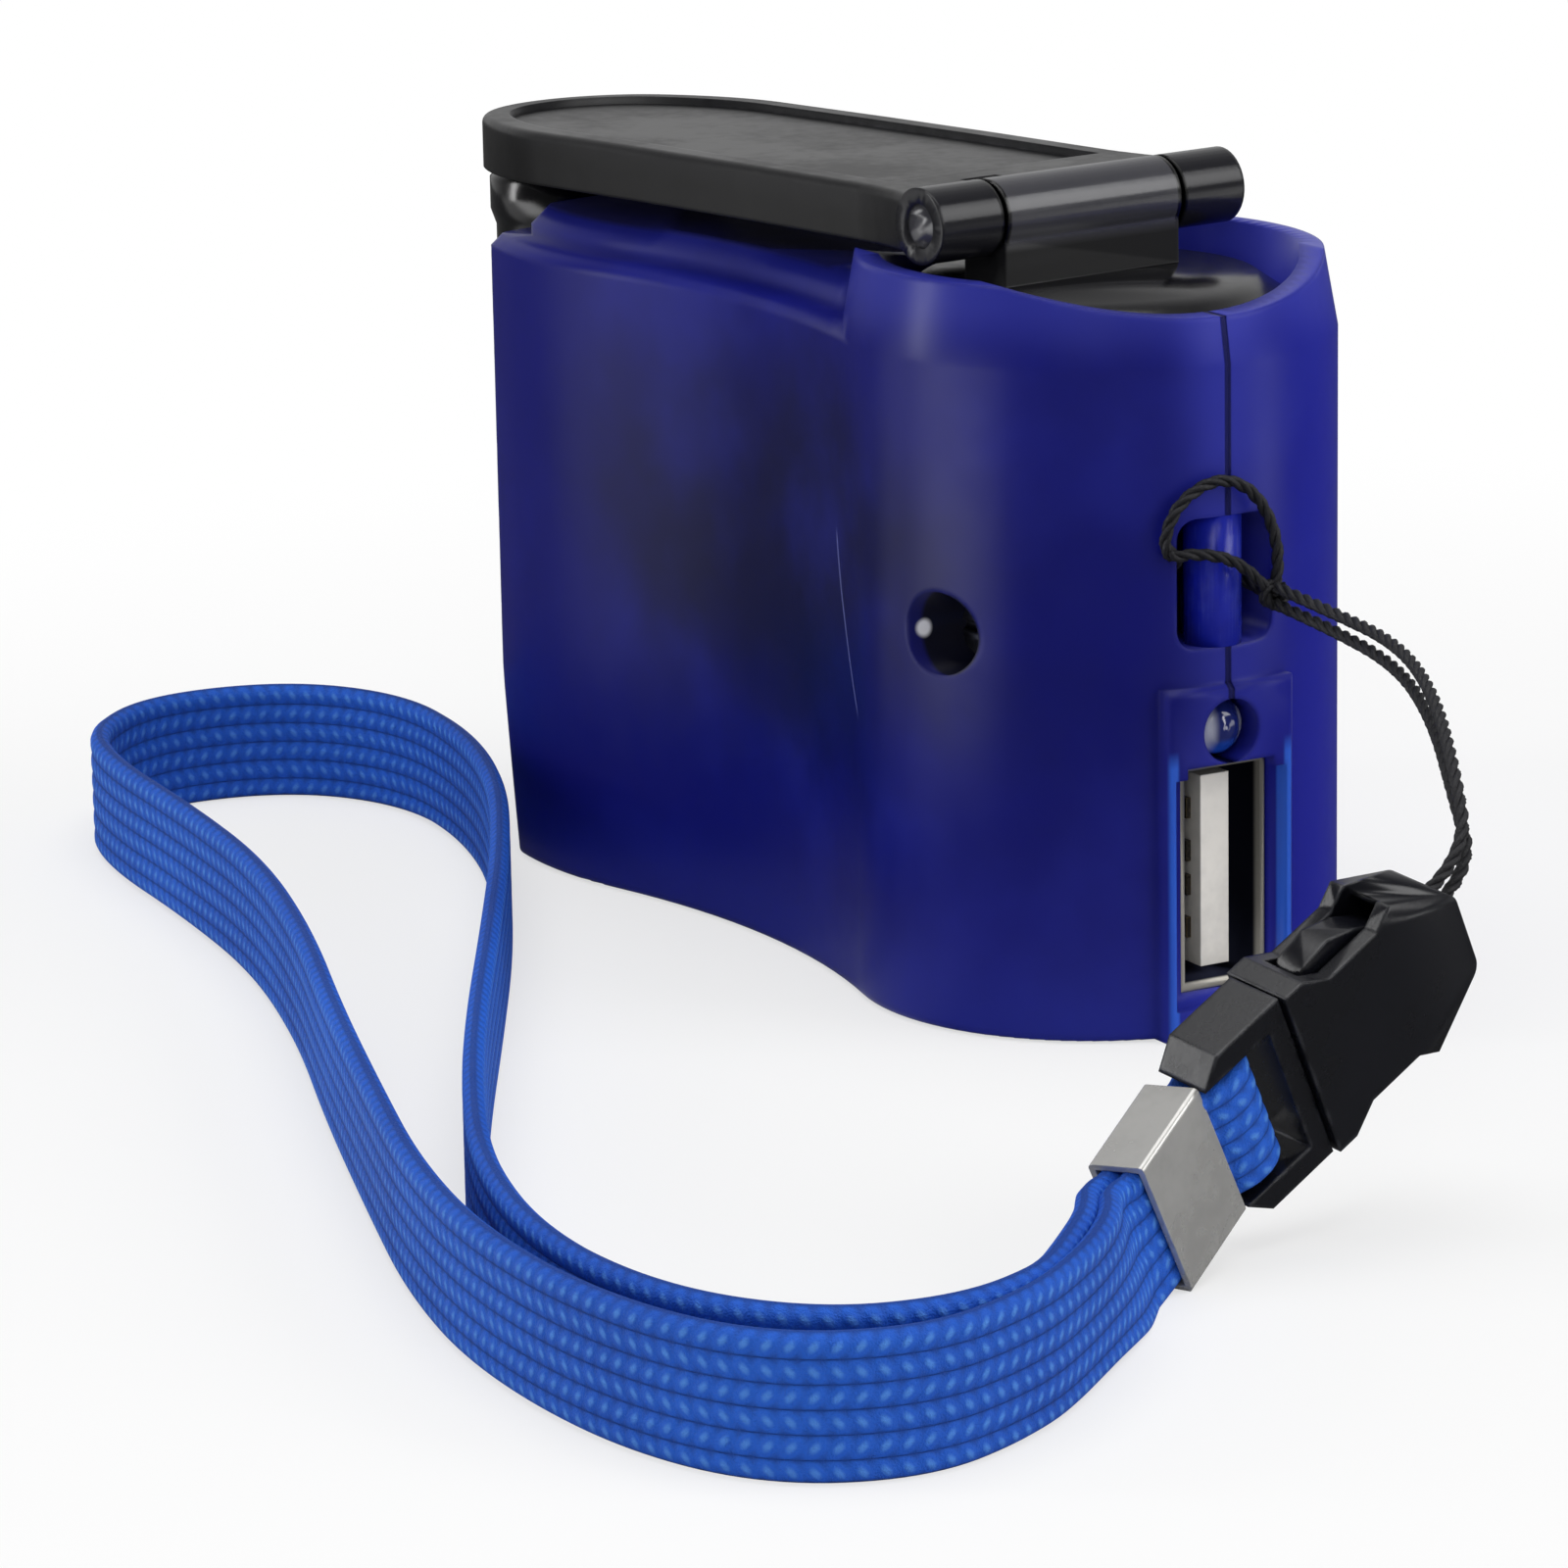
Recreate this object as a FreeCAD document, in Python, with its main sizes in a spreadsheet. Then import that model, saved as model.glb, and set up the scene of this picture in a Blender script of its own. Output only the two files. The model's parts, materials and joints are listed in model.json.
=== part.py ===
import FreeCAD, Part
import math
import os
import re

import Sketcher

# Hand crank phone charger: a waisted two-half housing with a folding crank on its round end.
# Frame: +Z up, +X towards the round end with the port, origin where the crank's axis meets the base.

Vector = FreeCAD.Vector
Placement = FreeCAD.Placement
Rotation = FreeCAD.Rotation

UP = Vector(0, 0, 1)
ACROSS = Vector(0, 1, 0)

# ---------------------------------------------------------------- driving dimensions (mm, degrees)

SIZES = [
    ("body_radius", 14.2, "radius of the round end"),
    ("waist_half", 12.0, "half width at the waist"),
    ("waist_radius", 55.0, "radius of the hollow waist"),
    ("tail_half", 15.2, "half width of the tail"),
    ("tail_radius", 27.33, "bow of the tail's sides"),
    ("tail_reach", 48.5, "distance from the crank axis to the end wall"),
    ("corner_radius", 1.6, "upright corners of the tail"),
    ("wall", 1.6, "housing wall"),
    ("roof", 3.1, "housing roof"),
    ("deck_height", 39.1, "top edge of the tail"),
    ("deck_chamfer", 0.7, "edge of the tail's top"),
    ("base_round", 0.5, "edge of the base"),
    ("slant_height", 26.0, "height where the end wall starts to lean in"),
    ("slant_run", 5.3, "how far the end wall leans in at the base"),
    ("crown_height", 41.0, "top of the raised centre of the tail"),
    ("crown_inset", 2.2, "border round the raised centre"),
    ("crown_chamfer", 1.2, "edge of the raised centre"),
    ("collar_crease", 38.6, "height where the collar starts to taper"),
    ("collar_radius", 13.4, "top radius of the collar"),
    ("rim_side", 43.1, "collar rim at the sides"),
    ("rim_front", 41.2, "collar rim at the front and back"),
    ("saddle_radius", 31.0, "radius of the dip over the collar"),
    ("recess_radius", 12.0, "bore of the collar"),
    ("recess_floor", 38.2, "floor of the collar's bore"),
    ("running_gap", 0.05, "radial clearance of a shaft in its bore"),
    ("slack", 0.3, "clearance between pieces that pass each other"),
    ("park_angle", 6.0, "turn of the parked crank about its axis"),
    ("disc_gap", 0.45, "clearance between the turntable and the collar's bore"),
    ("disc_edge", 40.3, "top of the turntable's upright edge"),
    ("disc_face", 41.6, "top face of the turntable"),
    ("disc_bevel", 1.9, "width of the turntable's bevel"),
    ("stem_radius", 3.0, "turntable stem in the housing's bearing"),
    ("stem_foot", 35.6, "underside of the stem"),
    ("shaft_radius", 1.8, "shaft through the crank gear"),
    ("shaft_foot", 30.6, "lower end of the shaft"),
    ("hinge_back", 1.5, "hinge axis behind the crank axis"),
    ("hinge_height", 45.4, "hinge axis above the base"),
    ("barrel_radius", 2.2, "hinge barrel"),
    ("barrel_half", 11.0, "half length of the hinge barrel"),
    ("knuckle_half", 6.3, "half length of the middle knuckle"),
    ("pin_radius", 0.8, "hinge pin"),
    ("pin_head", 1.3, "hinge pin head"),
    ("arm_top", 46.85, "top of the arm at the hinge"),
    ("arm_depth", 3.25, "thickness of the arm"),
    ("arm_drop", 1.4, "fall of the arm's top at its end"),
    ("arm_sag", 0.15, "bow of the arm's top"),
    ("arm_neck", 8.0, "length over which the arm narrows behind its barrel"),
    ("arm_half", 9.4, "half width of the arm"),
    ("arm_nose", 14.0, "length over which the arm's end is rounded"),
    ("arm_end", 7.8, "radius of the arm's end"),
    ("arm_tip", 2.5, "arm beyond the grip's axis"),
    ("arm_edge", 0.5, "rounding of the arm's upper edge"),
    ("arm_wall", 1.1, "skin of the arm"),
    ("arm_panel", 1.7, "border round the arm's sunken panel"),
    ("panel_depth", 0.45, "depth of the arm's sunken panel"),
    ("grip_gap", 0.4, "from the end wall to the parked grip"),
    ("grip_radius", 4.5, "grip"),
    ("grip_foot", 26.5, "lower end of the grip"),
    ("grip_top", 41.6, "upper end of the grip"),
    ("grip_pin_radius", 1.5, "pin through the grip"),
    ("grip_pin_head", 2.7, "head of the grip's pin"),
    ("head_depth", 1.3, "thickness of the grip pin's head"),
    ("tooth_module", 0.6, "gear module"),
    ("crank_teeth", 36, "teeth of the crank gear"),
    ("idler_teeth", 18, "small wheel of the idler"),
    ("wheel_teeth", 30, "large wheel of the idler"),
    ("rotor_teeth", 12, "pinion of the generator"),
    ("backlash", 0.16, "play between teeth"),
    ("gear_face", 3.2, "width of the gear teeth"),
    ("upper_gears", 32.0, "underside of the crank gear"),
    ("lower_gears", 28.0, "underside of the idler's large wheel"),
    ("axle_radius", 1.0, "idler axle and rotor shaft"),
    ("can_radius", 10.4, "generator can"),
    ("can_foot", 4.5, "underside of the generator can"),
    ("can_height", 20.6, "height of the generator can"),
    ("can_wall", 0.8, "sheet of the generator can"),
    ("rotor_radius", 7.5, "generator rotor"),
    ("plate_depth", 1.6, "gear plate"),
    ("port_height", 9.2, "middle of the port above the base"),
    ("port_long", 12.5, "inside of the port's shell, upright"),
    ("port_short", 5.1, "inside of the port's shell, across"),
    ("port_depth", 12.0, "depth of the port's shell"),
    ("port_setback", 1.0, "port shell behind the pad's face"),
    ("shell_sheet", 0.35, "sheet of the port's shell"),
    ("tongue_depth", 1.9, "thickness of the port's tongue"),
    ("tongue_side", 0.15, "tongue off the port's middle"),
    ("contact_width", 1.2, "contact of the port"),
    ("contact_depth", 0.3, "thickness of a contact"),
    ("pad_reach", 14.55, "face of the pad round the port"),
    ("pad_half", 4.3, "half width of the pad"),
    ("pad_height", 20.4, "top of the pad"),
    ("surround_half", 3.75, "half width of the port's sunken surround"),
    ("surround_depth", 0.8, "depth of the port's surround"),
    ("lamp_height", 17.7, "middle of the charge lamp"),
    ("lamp_radius", 1.8, "charge lamp"),
    ("lamp_length", 4.4, "charge lamp body"),
    ("post_station", 12.6, "lanyard post from the crank axis"),
    ("post_radius", 1.65, "lanyard post"),
    ("pocket_foot", 22.5, "bottom of the lanyard pocket"),
    ("pocket_top", 30.0, "top of the lanyard pocket"),
    ("pocket_half", 3.2, "half width of the lanyard pocket"),
    ("pocket_back", 9.5, "back wall of the lanyard pocket"),
    ("screw_station", 4.9, "case screw from the crank axis"),
    ("screw_height", 23.2, "case screw above the base"),
    ("screw_bore", 2.4, "well over the case screw"),
    ("screw_head", 2.1, "head of the case screw"),
    ("screw_shank", 1.0, "shank of the case screw"),
    ("screw_depth", 9.4, "floor of the screw's well from the seam"),
    ("screw_length", 16.0, "shank under the head"),
    ("board_depth", 1.2, "circuit board"),
    ("board_foot", 1.9, "lower edge of the circuit board"),
    ("board_top", 18.6, "upper edge of the circuit board"),
    ("board_front", 11.3, "front edge of the circuit board"),
    ("board_back", 15.5, "back edge of the circuit board, behind the crank axis"),
    ("store_radius", 3.1, "storage capacitor"),
    ("store_length", 11.0, "length of the storage capacitor"),
    ("strap_width", 7.4, "wrist strap, upright"),
    ("strap_depth", 1.2, "thickness of the wrist strap"),
    ("strap_gap", 0.1, "between the strap's two layers"),
    ("crimp_length", 6.2, "crimp on the strap"),
    ("crimp_sheet", 0.35, "sheet of the crimp"),
    ("crimp_turn", 117.0, "direction of the crimp"),
    ("crimp_rise", 26.0, "rise of the crimp towards the buckle"),
    ("crimp_lean", -6.0, "lean of the crimp"),
    ("buckle_x", 47.3, "mouth of the buckle's socket"),
    ("buckle_y", -18.8, "mouth of the buckle's socket"),
    ("buckle_z", 9.5, "mouth of the buckle's socket"),
    ("buckle_turn", 96.9, "direction of the buckle"),
    ("buckle_rise", 29.0, "rise of the buckle towards its nose"),
    ("buckle_lean", 8.9, "lean of the buckle"),
    ("buckle_width", 11.0, "buckle across its prongs"),
    ("buckle_depth", 4.2, "thickness of the buckle"),
    ("socket_length", 12.0, "buckle socket"),
    ("socket_wall", 0.9, "wall of the buckle socket"),
    ("nose_width", 5.2, "end of the buckle socket"),
    ("plug_length", 6.2, "loop of the buckle's plug"),
    ("plug_bar", 1.0, "bar of the plug's loop"),
    ("crimp_room", 0.65, "from the plug to the crimp"),
    ("bar_setback", 1.3, "bar behind the ends of the plug's loop"),
    ("plug_rail", 1.4, "sides of the plug's loop"),
    ("prong_length", 8.0, "prongs of the plug"),
    ("string_radius", 0.38, "black string"),
    ("knot_radius", 1.15, "knot of the string"),
]

doc = FreeCAD.newDocument("HandCrankCharger")
sheet = doc.addObject("Spreadsheet::Sheet", "Sizes")
for row, (alias, number, note) in enumerate(SIZES, start=1):
    sheet.set("A%d" % row, note)
    sheet.set("B%d" % row, str(number))
    sheet.setAlias("B%d" % row, alias)
doc.recompute()

ALIASES = {alias for alias, number, note in SIZES}


def linked(formula):
    """The formula with each size written as a cell of the sheet."""
    return re.sub(r"[a-z][a-z0-9_]*",
                  lambda word: "Sizes." + word.group(0) if word.group(0) in ALIASES else word.group(0),
                  str(formula))


def value(formula):
    """The formula's number, from the sheet."""
    return float(sheet.evalExpression(linked(formula)))


# ---------------------------------------------------------------- parametric helpers

nodes = []


def finish_node(item, label):
    """Names the item as a sub-part and keeps it for the export."""
    item.Label = label
    nodes.append(item)
    return item


def plane_of(body, role):
    """The body's own origin plane."""
    return [feature for feature in body.Origin.OriginFeatures if feature.Role == role][0]


def new_body(label):
    """A body that becomes a sub-part."""
    return finish_node(doc.addObject("PartDesign::Body", label), label)


def place(item, x="0", y="0", z="0", axis=UP, angle="0"):
    """Binds the item's place to the sheet."""
    item.Placement = Placement(Vector(value(x), value(y), value(z)), Rotation(axis, value(angle)))
    for key, formula in (("x", x), ("y", y), ("z", z)):
        item.setExpression("Placement.Base." + key, linked(formula))


def sketch_on(body, name, role, offset="0"):
    """An empty sketch on an origin plane of the body, moved along its normal."""
    sketch = body.newObject("Sketcher::SketchObject", name)
    sketch.AttachmentSupport = [(plane_of(body, role), "")]
    sketch.MapMode = "FlatFace"
    sketch.AttachmentOffset = Placement(Vector(0, 0, value(offset)), Rotation())
    sketch.setExpression("AttachmentOffset.Base.z", linked(offset))
    return sketch


def pin_point(sketch, edge, end, x, y):
    """Fixes one end of an edge at x, y from the sketch's origin."""
    if x == "0":
        sketch.addConstraint(Sketcher.Constraint("PointOnObject", edge, end, -2))
    else:
        index = sketch.addConstraint(Sketcher.Constraint("DistanceX", -1, 1, edge, end, value(x)))
        sketch.setExpression("Constraints[%d]" % index, linked(x))
    if y == "0":
        sketch.addConstraint(Sketcher.Constraint("PointOnObject", edge, end, -1))
    else:
        index = sketch.addConstraint(Sketcher.Constraint("DistanceY", -1, 1, edge, end, value(y)))
        sketch.setExpression("Constraints[%d]" % index, linked(y))


def draw_outline(sketch, corners):
    """A closed outline of straight edges through the corners."""
    points = [Vector(value(x), value(y), 0) for x, y in corners]
    first = sketch.GeometryCount
    count = len(points)
    for index, point in enumerate(points):
        sketch.addGeometry(Part.LineSegment(point, points[(index + 1) % count]), False)
    for index in range(count):
        following = first + (index + 1) % count
        sketch.addConstraint(Sketcher.Constraint("Coincident", first + index, 2, following, 1))
    for index, (x, y) in enumerate(corners):
        pin_point(sketch, first + index, 1, x, y)


def draw_circle(sketch, x, y, radius):
    """A circle with its middle at x, y."""
    circle = sketch.addGeometry(Part.Circle(Vector(value(x), value(y), 0), UP, value(radius)), False)
    index = sketch.addConstraint(Sketcher.Constraint("Radius", circle, value(radius)))
    sketch.setExpression("Constraints[%d]" % index, linked(radius))
    pin_point(sketch, circle, 3, x, y)


def revolve(body, name, corners):
    """Turns a profile, given as radius and height, about the body's upright axis."""
    sketch = sketch_on(body, name + "Profile", "XZ_Plane")
    draw_outline(sketch, corners)
    feature = body.newObject("PartDesign::Revolution", name)
    feature.Profile = (sketch, [""])
    feature.ReferenceAxis = (sketch, ["V_Axis"])
    feature.Angle = 360
    return feature


def pad(body, name, corners, foot, height):
    """Raises an outline on the XY plane from foot by height."""
    sketch = sketch_on(body, name + "Outline", "XY_Plane", foot)
    draw_outline(sketch, corners)
    feature = body.newObject("PartDesign::Pad", name)
    feature.Profile = (sketch, [""])
    feature.setExpression("Length", linked(height))
    return feature


def box_corners(low_x, low_y, high_x, high_y):
    """The corners of an upright rectangle."""
    return [(low_x, low_y), (high_x, low_y), (high_x, high_y), (low_x, high_y)]


def solid_node(label, shape, placement=Placement()):
    """A sub-part whose shape is made by one of this file's own functions."""
    item = doc.addObject("Part::Feature", label)
    item.Shape = shape
    item.Placement = placement
    return finish_node(item, label)


# ---------------------------------------------------------------- plain geometry

def block(low, high):
    """A box between two corners."""
    size = high - low
    return Part.makeBox(size.x, size.y, size.z, low)


def column(x, y, low, high, radius):
    """An upright cylinder."""
    return Part.makeCylinder(radius, high - low, Vector(x, y, low), UP)


def cross_bar(x, z, low, high, radius):
    """A cylinder across the housing."""
    return Part.makeCylinder(radius, high - low, Vector(x, low, z), ACROSS)


def arc(start, middle, radius, end):
    """The shorter arc from start to end about the middle."""
    chord = (start + end) * 0.5 - middle
    chord.normalize()
    return Part.Arc(start, middle + chord * radius, end).toShape()


# ---------------------------------------------------------------- housing

class HousingPlan:
    """Plan of the housing: round end, hollow waist, bowed tail and an end wall about the crank's axis."""

    def __init__(self, inset):
        self.round_radius = value("body_radius") - inset
        self.waist_radius = value("waist_radius") + inset
        waist_y = value("waist_half + waist_radius")
        waist_x = -math.sqrt(value("body_radius + waist_radius") ** 2 - waist_y ** 2)
        self.waist_middle = Vector(waist_x, waist_y, 0)
        full = value("waist_radius")
        bow = value("tail_radius")
        lean = waist_y - value("tail_half") + bow
        tail_x = waist_x - math.sqrt((full + bow) ** 2 - lean ** 2)
        self.tail_middle = Vector(tail_x, value("tail_half") - bow, 0)
        self.tail_radius = bow - inset
        self.reach = value("tail_reach") - inset
        self.waist_share = (bow - inset) / (bow + full)

    def corner(self):
        """Where the tail's side meets the end wall."""
        gap = self.tail_middle.Length
        along = (gap * gap + self.reach ** 2 - self.tail_radius ** 2) / (2 * gap)
        aside = math.sqrt(self.reach ** 2 - along * along)
        way = self.tail_middle * (1 / gap)
        square = Vector(-way.y, way.x, 0)
        choices = [way * along + square * aside, way * along - square * aside]
        return max(choices, key=lambda point: point.y)

    def wire(self):
        """The closed outline."""
        first = self.waist_middle * (self.round_radius / self.waist_middle.Length)
        second = self.tail_middle + (self.waist_middle - self.tail_middle) * self.waist_share
        third = self.corner()
        mirror = lambda point: Vector(point.x, -point.y, point.z)
        origin = Vector(0, 0, 0)
        front = Part.Arc(mirror(first), Vector(self.round_radius, 0, 0), first).toShape()
        back = Part.Arc(third, Vector(-self.reach, 0, 0), mirror(third)).toShape()
        edges = [
            front,
            arc(first, self.waist_middle, self.waist_radius, second),
            arc(second, self.tail_middle, self.tail_radius, third),
            back,
            arc(mirror(third), mirror(self.tail_middle), self.tail_radius, mirror(second)),
            arc(mirror(second), mirror(self.waist_middle), self.waist_radius, mirror(first)),
        ]
        return Part.Wire(edges)

    def prism(self, low, high, corner):
        """The outline raised from low to high, with rounded upright corners."""
        wire = self.wire()
        wire.translate(Vector(0, 0, low))
        solid = Part.Face(wire).extrude(Vector(0, 0, high - low))
        edge_x = self.corner().x
        uprights = [edge for edge in solid.Edges
                    if abs(edge.CenterOfMass.x - edge_x) < 0.01 and abs(edge.Length - (high - low)) < 0.01]
        return solid.makeFillet(corner, uprights)


def edges_at(solid, height):
    """The edges that lie at one height."""
    return [edge for edge in solid.Edges
            if abs(edge.BoundBox.ZMin - height) < 1e-4 and abs(edge.BoundBox.ZMax - height) < 1e-4]


def slant_wedge(inset):
    """What the lean of the end wall takes away, moved inwards by inset."""
    reach = value("tail_reach") - inset
    far = value("tail_reach") * 1.2
    side = value("tail_half") * 1.5
    run = value("slant_run")
    high = value("slant_height")
    low = -high * 0.1
    points = [Vector(-far, -side, low), Vector(-reach + run * 1.1, -side, low), Vector(-reach, -side, high),
              Vector(-far, -side, high)]
    face = Part.Face(Part.makePolygon(points + [points[0]]))
    return face.extrude(Vector(0, 2 * side, 0))


def housing_outside():
    """The closed outer form of the housing."""
    plan = HousingPlan(0)
    deck = value("deck_height")
    corner = value("corner_radius")
    body = plan.prism(0, deck, corner).cut(slant_wedge(0))
    body = body.makeChamfer(value("deck_chamfer"), edges_at(body, deck))
    body = body.makeFillet(value("base_round"), edges_at(body, 0))
    crown_plan = HousingPlan(value("crown_inset"))
    crown = crown_plan.prism(deck - value("roof") / 2, value("crown_height"), corner)
    crown = crown.makeChamfer(value("crown_chamfer"), edges_at(crown, value("crown_height")))
    crease = value("collar_crease")
    radius = value("body_radius")
    low = deck / 2
    drum = column(0, 0, low, crease, radius)
    taper = Part.makeCone(radius, value("collar_radius"), value("rim_side") - crease, Vector(0, 0, crease), UP)
    body = body.fuse([crown, drum.fuse(taper)])
    saddle_middle = value("rim_front + saddle_radius")
    saddle = Part.makeCylinder(value("saddle_radius"), 4 * radius, Vector(-2 * radius, 0, saddle_middle),
                               Vector(1, 0, 0))
    return body.cut(saddle)


def housing_cavity():
    """The room inside the walls."""
    wall = value("wall")
    plan = HousingPlan(wall)
    room = plan.prism(wall, value("deck_height - roof"), value("corner_radius - wall / 2"))
    return room.cut(slant_wedge(wall))


def port_pad():
    """The raised pad round the port."""
    half = value("pad_half")
    pad_block = block(Vector(value("body_radius - wall") - 0.3, -half, 0.0),
                      Vector(value("pad_reach"), half, value("pad_height")))
    uprights = [edge for edge in pad_block.Edges
                if abs(edge.CenterOfMass.x - value("pad_reach")) < 0.01]
    return pad_block.makeChamfer(0.3, uprights)


def port_opening():
    """The openings for the port's shell, its sunken surround and the lamp."""
    middle = value("port_height")
    shell = value("shell_sheet")
    gap = value("running_gap")
    long_half = value("port_long / 2") + shell + gap
    short_half = value("port_short / 2") + shell + gap
    face = value("pad_reach")
    back = value("pad_reach - port_setback - port_depth") - 1.0
    surround = value("surround_half")
    margin = surround - short_half
    through = block(Vector(back, -short_half, middle - long_half),
                    Vector(face + 1, short_half, middle + long_half))
    sunk = block(Vector(face - value("surround_depth"), -surround, middle - long_half - margin),
                 Vector(face + 1, surround, middle + long_half - 0.6))
    lamp_bore = value("lamp_radius + running_gap")
    lamp = Part.makeCylinder(lamp_bore, value("body_radius"), Vector(value("body_radius") / 2, 0,
                                                                     value("lamp_height")), Vector(1, 0, 0))
    return [through, sunk, lamp]


def pocket_solids():
    """The walls behind the lanyard pocket, and the pocket itself."""
    wall = value("wall")
    half = value("pocket_half")
    back = value("pocket_back")
    foot = value("pocket_foot")
    top = value("pocket_top")
    backing = block(Vector(back - wall, -half - wall, foot - wall),
                    Vector(value("body_radius") - 1.0, half + wall, top + wall))
    pocket = block(Vector(back, -half, foot), Vector(value("body_radius") + 2, half, top))
    along = [edge for edge in pocket.Edges
             if abs(edge.Length - (value("body_radius") + 2 - back)) < 0.01]
    return backing, pocket.makeFillet(1.2, along)


def screw_solids():
    """The boss of the case screw, and its well and holes."""
    x = value("screw_station")
    z = value("screw_height")
    depth = value("screw_depth")
    boss = cross_bar(x, z, -value("body_radius") + 1, value("body_radius") - 2, value("screw_bore + wall"))
    well = cross_bar(x, z, -2 * value("body_radius"), -depth, value("screw_bore"))
    clear = cross_bar(x, z, -depth - 1, 0, value("screw_shank + 0.1"))
    pilot = cross_bar(x, z, -0.5, value("screw_length - screw_depth") + 0.5, value("screw_shank + 0.02"))
    return boss, [well, clear, pilot]


def housing_shell():
    """The whole hollow housing before it is split along its seam."""
    outside = housing_outside()
    cavity = housing_cavity()
    shell = outside.cut(cavity)
    boss, screw_holes = screw_solids()
    backing, pocket = pocket_solids()
    can_x = rotor_station()
    seat_out = value("can_radius - 1.0")
    seat = column(can_x, 0, value("wall / 2"), value("can_foot"), seat_out)
    seat = seat.cut(column(can_x, 0, 0, value("can_foot") + 1, seat_out - value("wall")))
    board_back = value("port_short / 2 + shell_sheet + board_depth")
    posts = [cross_bar(value("-board_back * 0.7"), height, board_back, value("body_radius"), 1.4)
             for height in (value("board_foot + 2.5"), value("board_top - 2.5"))]
    inner = boss.fuse([backing, seat] + posts).common(outside)
    shell = shell.fuse([inner, port_pad()])
    floor = value("recess_floor")
    high = value("rim_side") + 1
    holes = [
        column(0, 0, floor, high, value("recess_radius")),
        column(0, 0, value("deck_height - roof") - 1, high, value("stem_radius + running_gap")),
        column(idler_station(), 0, value("deck_height - roof") - 1, value("deck_height - roof / 2"),
               value("axle_radius + 0.02")),
        pocket,
    ]
    shell = shell.cut(holes + screw_holes + port_opening())
    return shell.removeSplitter()


# ---------------------------------------------------------------- gear train

def idler_station():
    """The idler's axis, behind the crank's."""
    return -value("tooth_module * (crank_teeth + idler_teeth) / 2")


def rotor_station():
    """The generator's axis, behind the idler's."""
    return idler_station() - value("tooth_module * (wheel_teeth + rotor_teeth) / 2")


def gear_face(teeth, turn):
    """A toothed outline: involute flanks, thinned by half the play between teeth."""
    module = value("tooth_module")
    pitch = module * teeth / 2
    pressure = math.radians(20)
    base = pitch * math.cos(pressure)
    tip = pitch + 0.9 * module
    root = pitch - 1.2 * module
    step = 2 * math.pi / teeth
    half_pitch_angle = step / 4 - value("backlash") / (4 * pitch)
    involute = lambda angle: math.tan(angle) - angle
    lowest = max(base, root)
    flank = []
    for share in (0.0, 0.35, 0.7, 1.0):
        radius = lowest + (tip - lowest) * share
        angle = math.acos(min(1.0, base / radius))
        flank.append((radius, half_pitch_angle + involute(pressure) - involute(angle)))
    points = []
    for tooth in range(teeth):
        middle = math.radians(turn) + tooth * step
        outline = [(root, -flank[0][1])] + [(radius, -angle) for radius, angle in flank]
        outline += [(radius, angle) for radius, angle in reversed(flank)] + [(root, flank[0][1])]
        for radius, angle in outline:
            point = Vector(radius * math.cos(middle + angle), radius * math.sin(middle + angle), 0)
            if not points or (point - points[-1]).Length > 1e-4:
                points.append(point)
    return Part.Face(Part.makePolygon(points + [points[0]]))


def toothed_wheel(teeth, turn, x, low, high):
    """An upright toothed wheel without its bore."""
    solid = gear_face(teeth, turn).extrude(Vector(0, 0, high - low))
    solid.translate(Vector(x, 0, low))
    return solid


def crank_gear_shape():
    """The crank's wheel, with a raised hub and lightening holes."""
    low = value("upper_gears")
    high = low + value("gear_face")
    teeth = int(value("crank_teeth"))
    hub_radius = value("stem_radius + 1")
    wheel = toothed_wheel(teeth, 0, 0, low, high)
    pitch = value("tooth_module") * teeth / 2
    hole_ring = (pitch + hub_radius) / 2
    hole = (pitch - hub_radius) / 4
    holes = [column(hole_ring * math.cos(math.radians(60 * index)),
                    hole_ring * math.sin(math.radians(60 * index)), low - 1, high + 1, hole)
             for index in range(6)]
    hub = column(0, 0, high, value("stem_foot"), hub_radius)
    bore = column(0, 0, low - 1, value("stem_foot") + 1, value("shaft_radius"))
    return wheel.cut(holes).fuse(hub).cut(bore)


def idler_shape():
    """The idler: a large wheel under a small one, on one hub."""
    low = value("lower_gears")
    face = value("gear_face")
    upper = value("upper_gears")
    x = idler_station()
    small = int(value("idler_teeth"))
    large = int(value("wheel_teeth"))
    hub = column(x, 0, low + face, upper, value("axle_radius + 1.6"))
    wheel = toothed_wheel(large, 0, x, low, low + face)
    pinion = toothed_wheel(small, 180.0 / small, x, upper, upper + face)
    bore = column(x, 0, low - 1, upper + face + 1, value("axle_radius + running_gap"))
    return wheel.fuse([hub, pinion]).cut(bore)


def rotor_pinion_shape():
    """The generator's pinion."""
    low = value("lower_gears")
    teeth = int(value("rotor_teeth"))
    x = rotor_station()
    pinion = toothed_wheel(teeth, 180.0 / teeth, x, low, low + value("gear_face"))
    return pinion.cut(column(x, 0, low - 1, low + value("gear_face") + 1, value("axle_radius")))


def gear_plate_shape():
    """The plate over the generator that carries the idler's axle."""
    low = value("can_foot + can_height")
    high = low + value("plate_depth")
    plan = HousingPlan(value("wall + slack"))
    slab = plan.prism(low, high, value("corner_radius - wall / 2"))
    front = value("screw_station - screw_bore - wall - slack")
    reach = value("tail_reach")
    window = block(Vector(-reach + 8, -20, low - 1), Vector(front - 2.5, 20, high + 1))
    slab = slab.common(window)
    axle = column(idler_station(), 0, low - 1, high + 1, value("axle_radius"))
    rotor = column(rotor_station(), 0, low - 1, high + 1, value("axle_radius + 0.8"))
    boss = column(idler_station(), 0, high, value("lower_gears") - 0.2, value("axle_radius + 1.2"))
    return slab.fuse(boss).cut([axle, rotor, column(idler_station(), 0, low, high + 3, value("axle_radius"))])


# ---------------------------------------------------------------- crank

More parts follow.
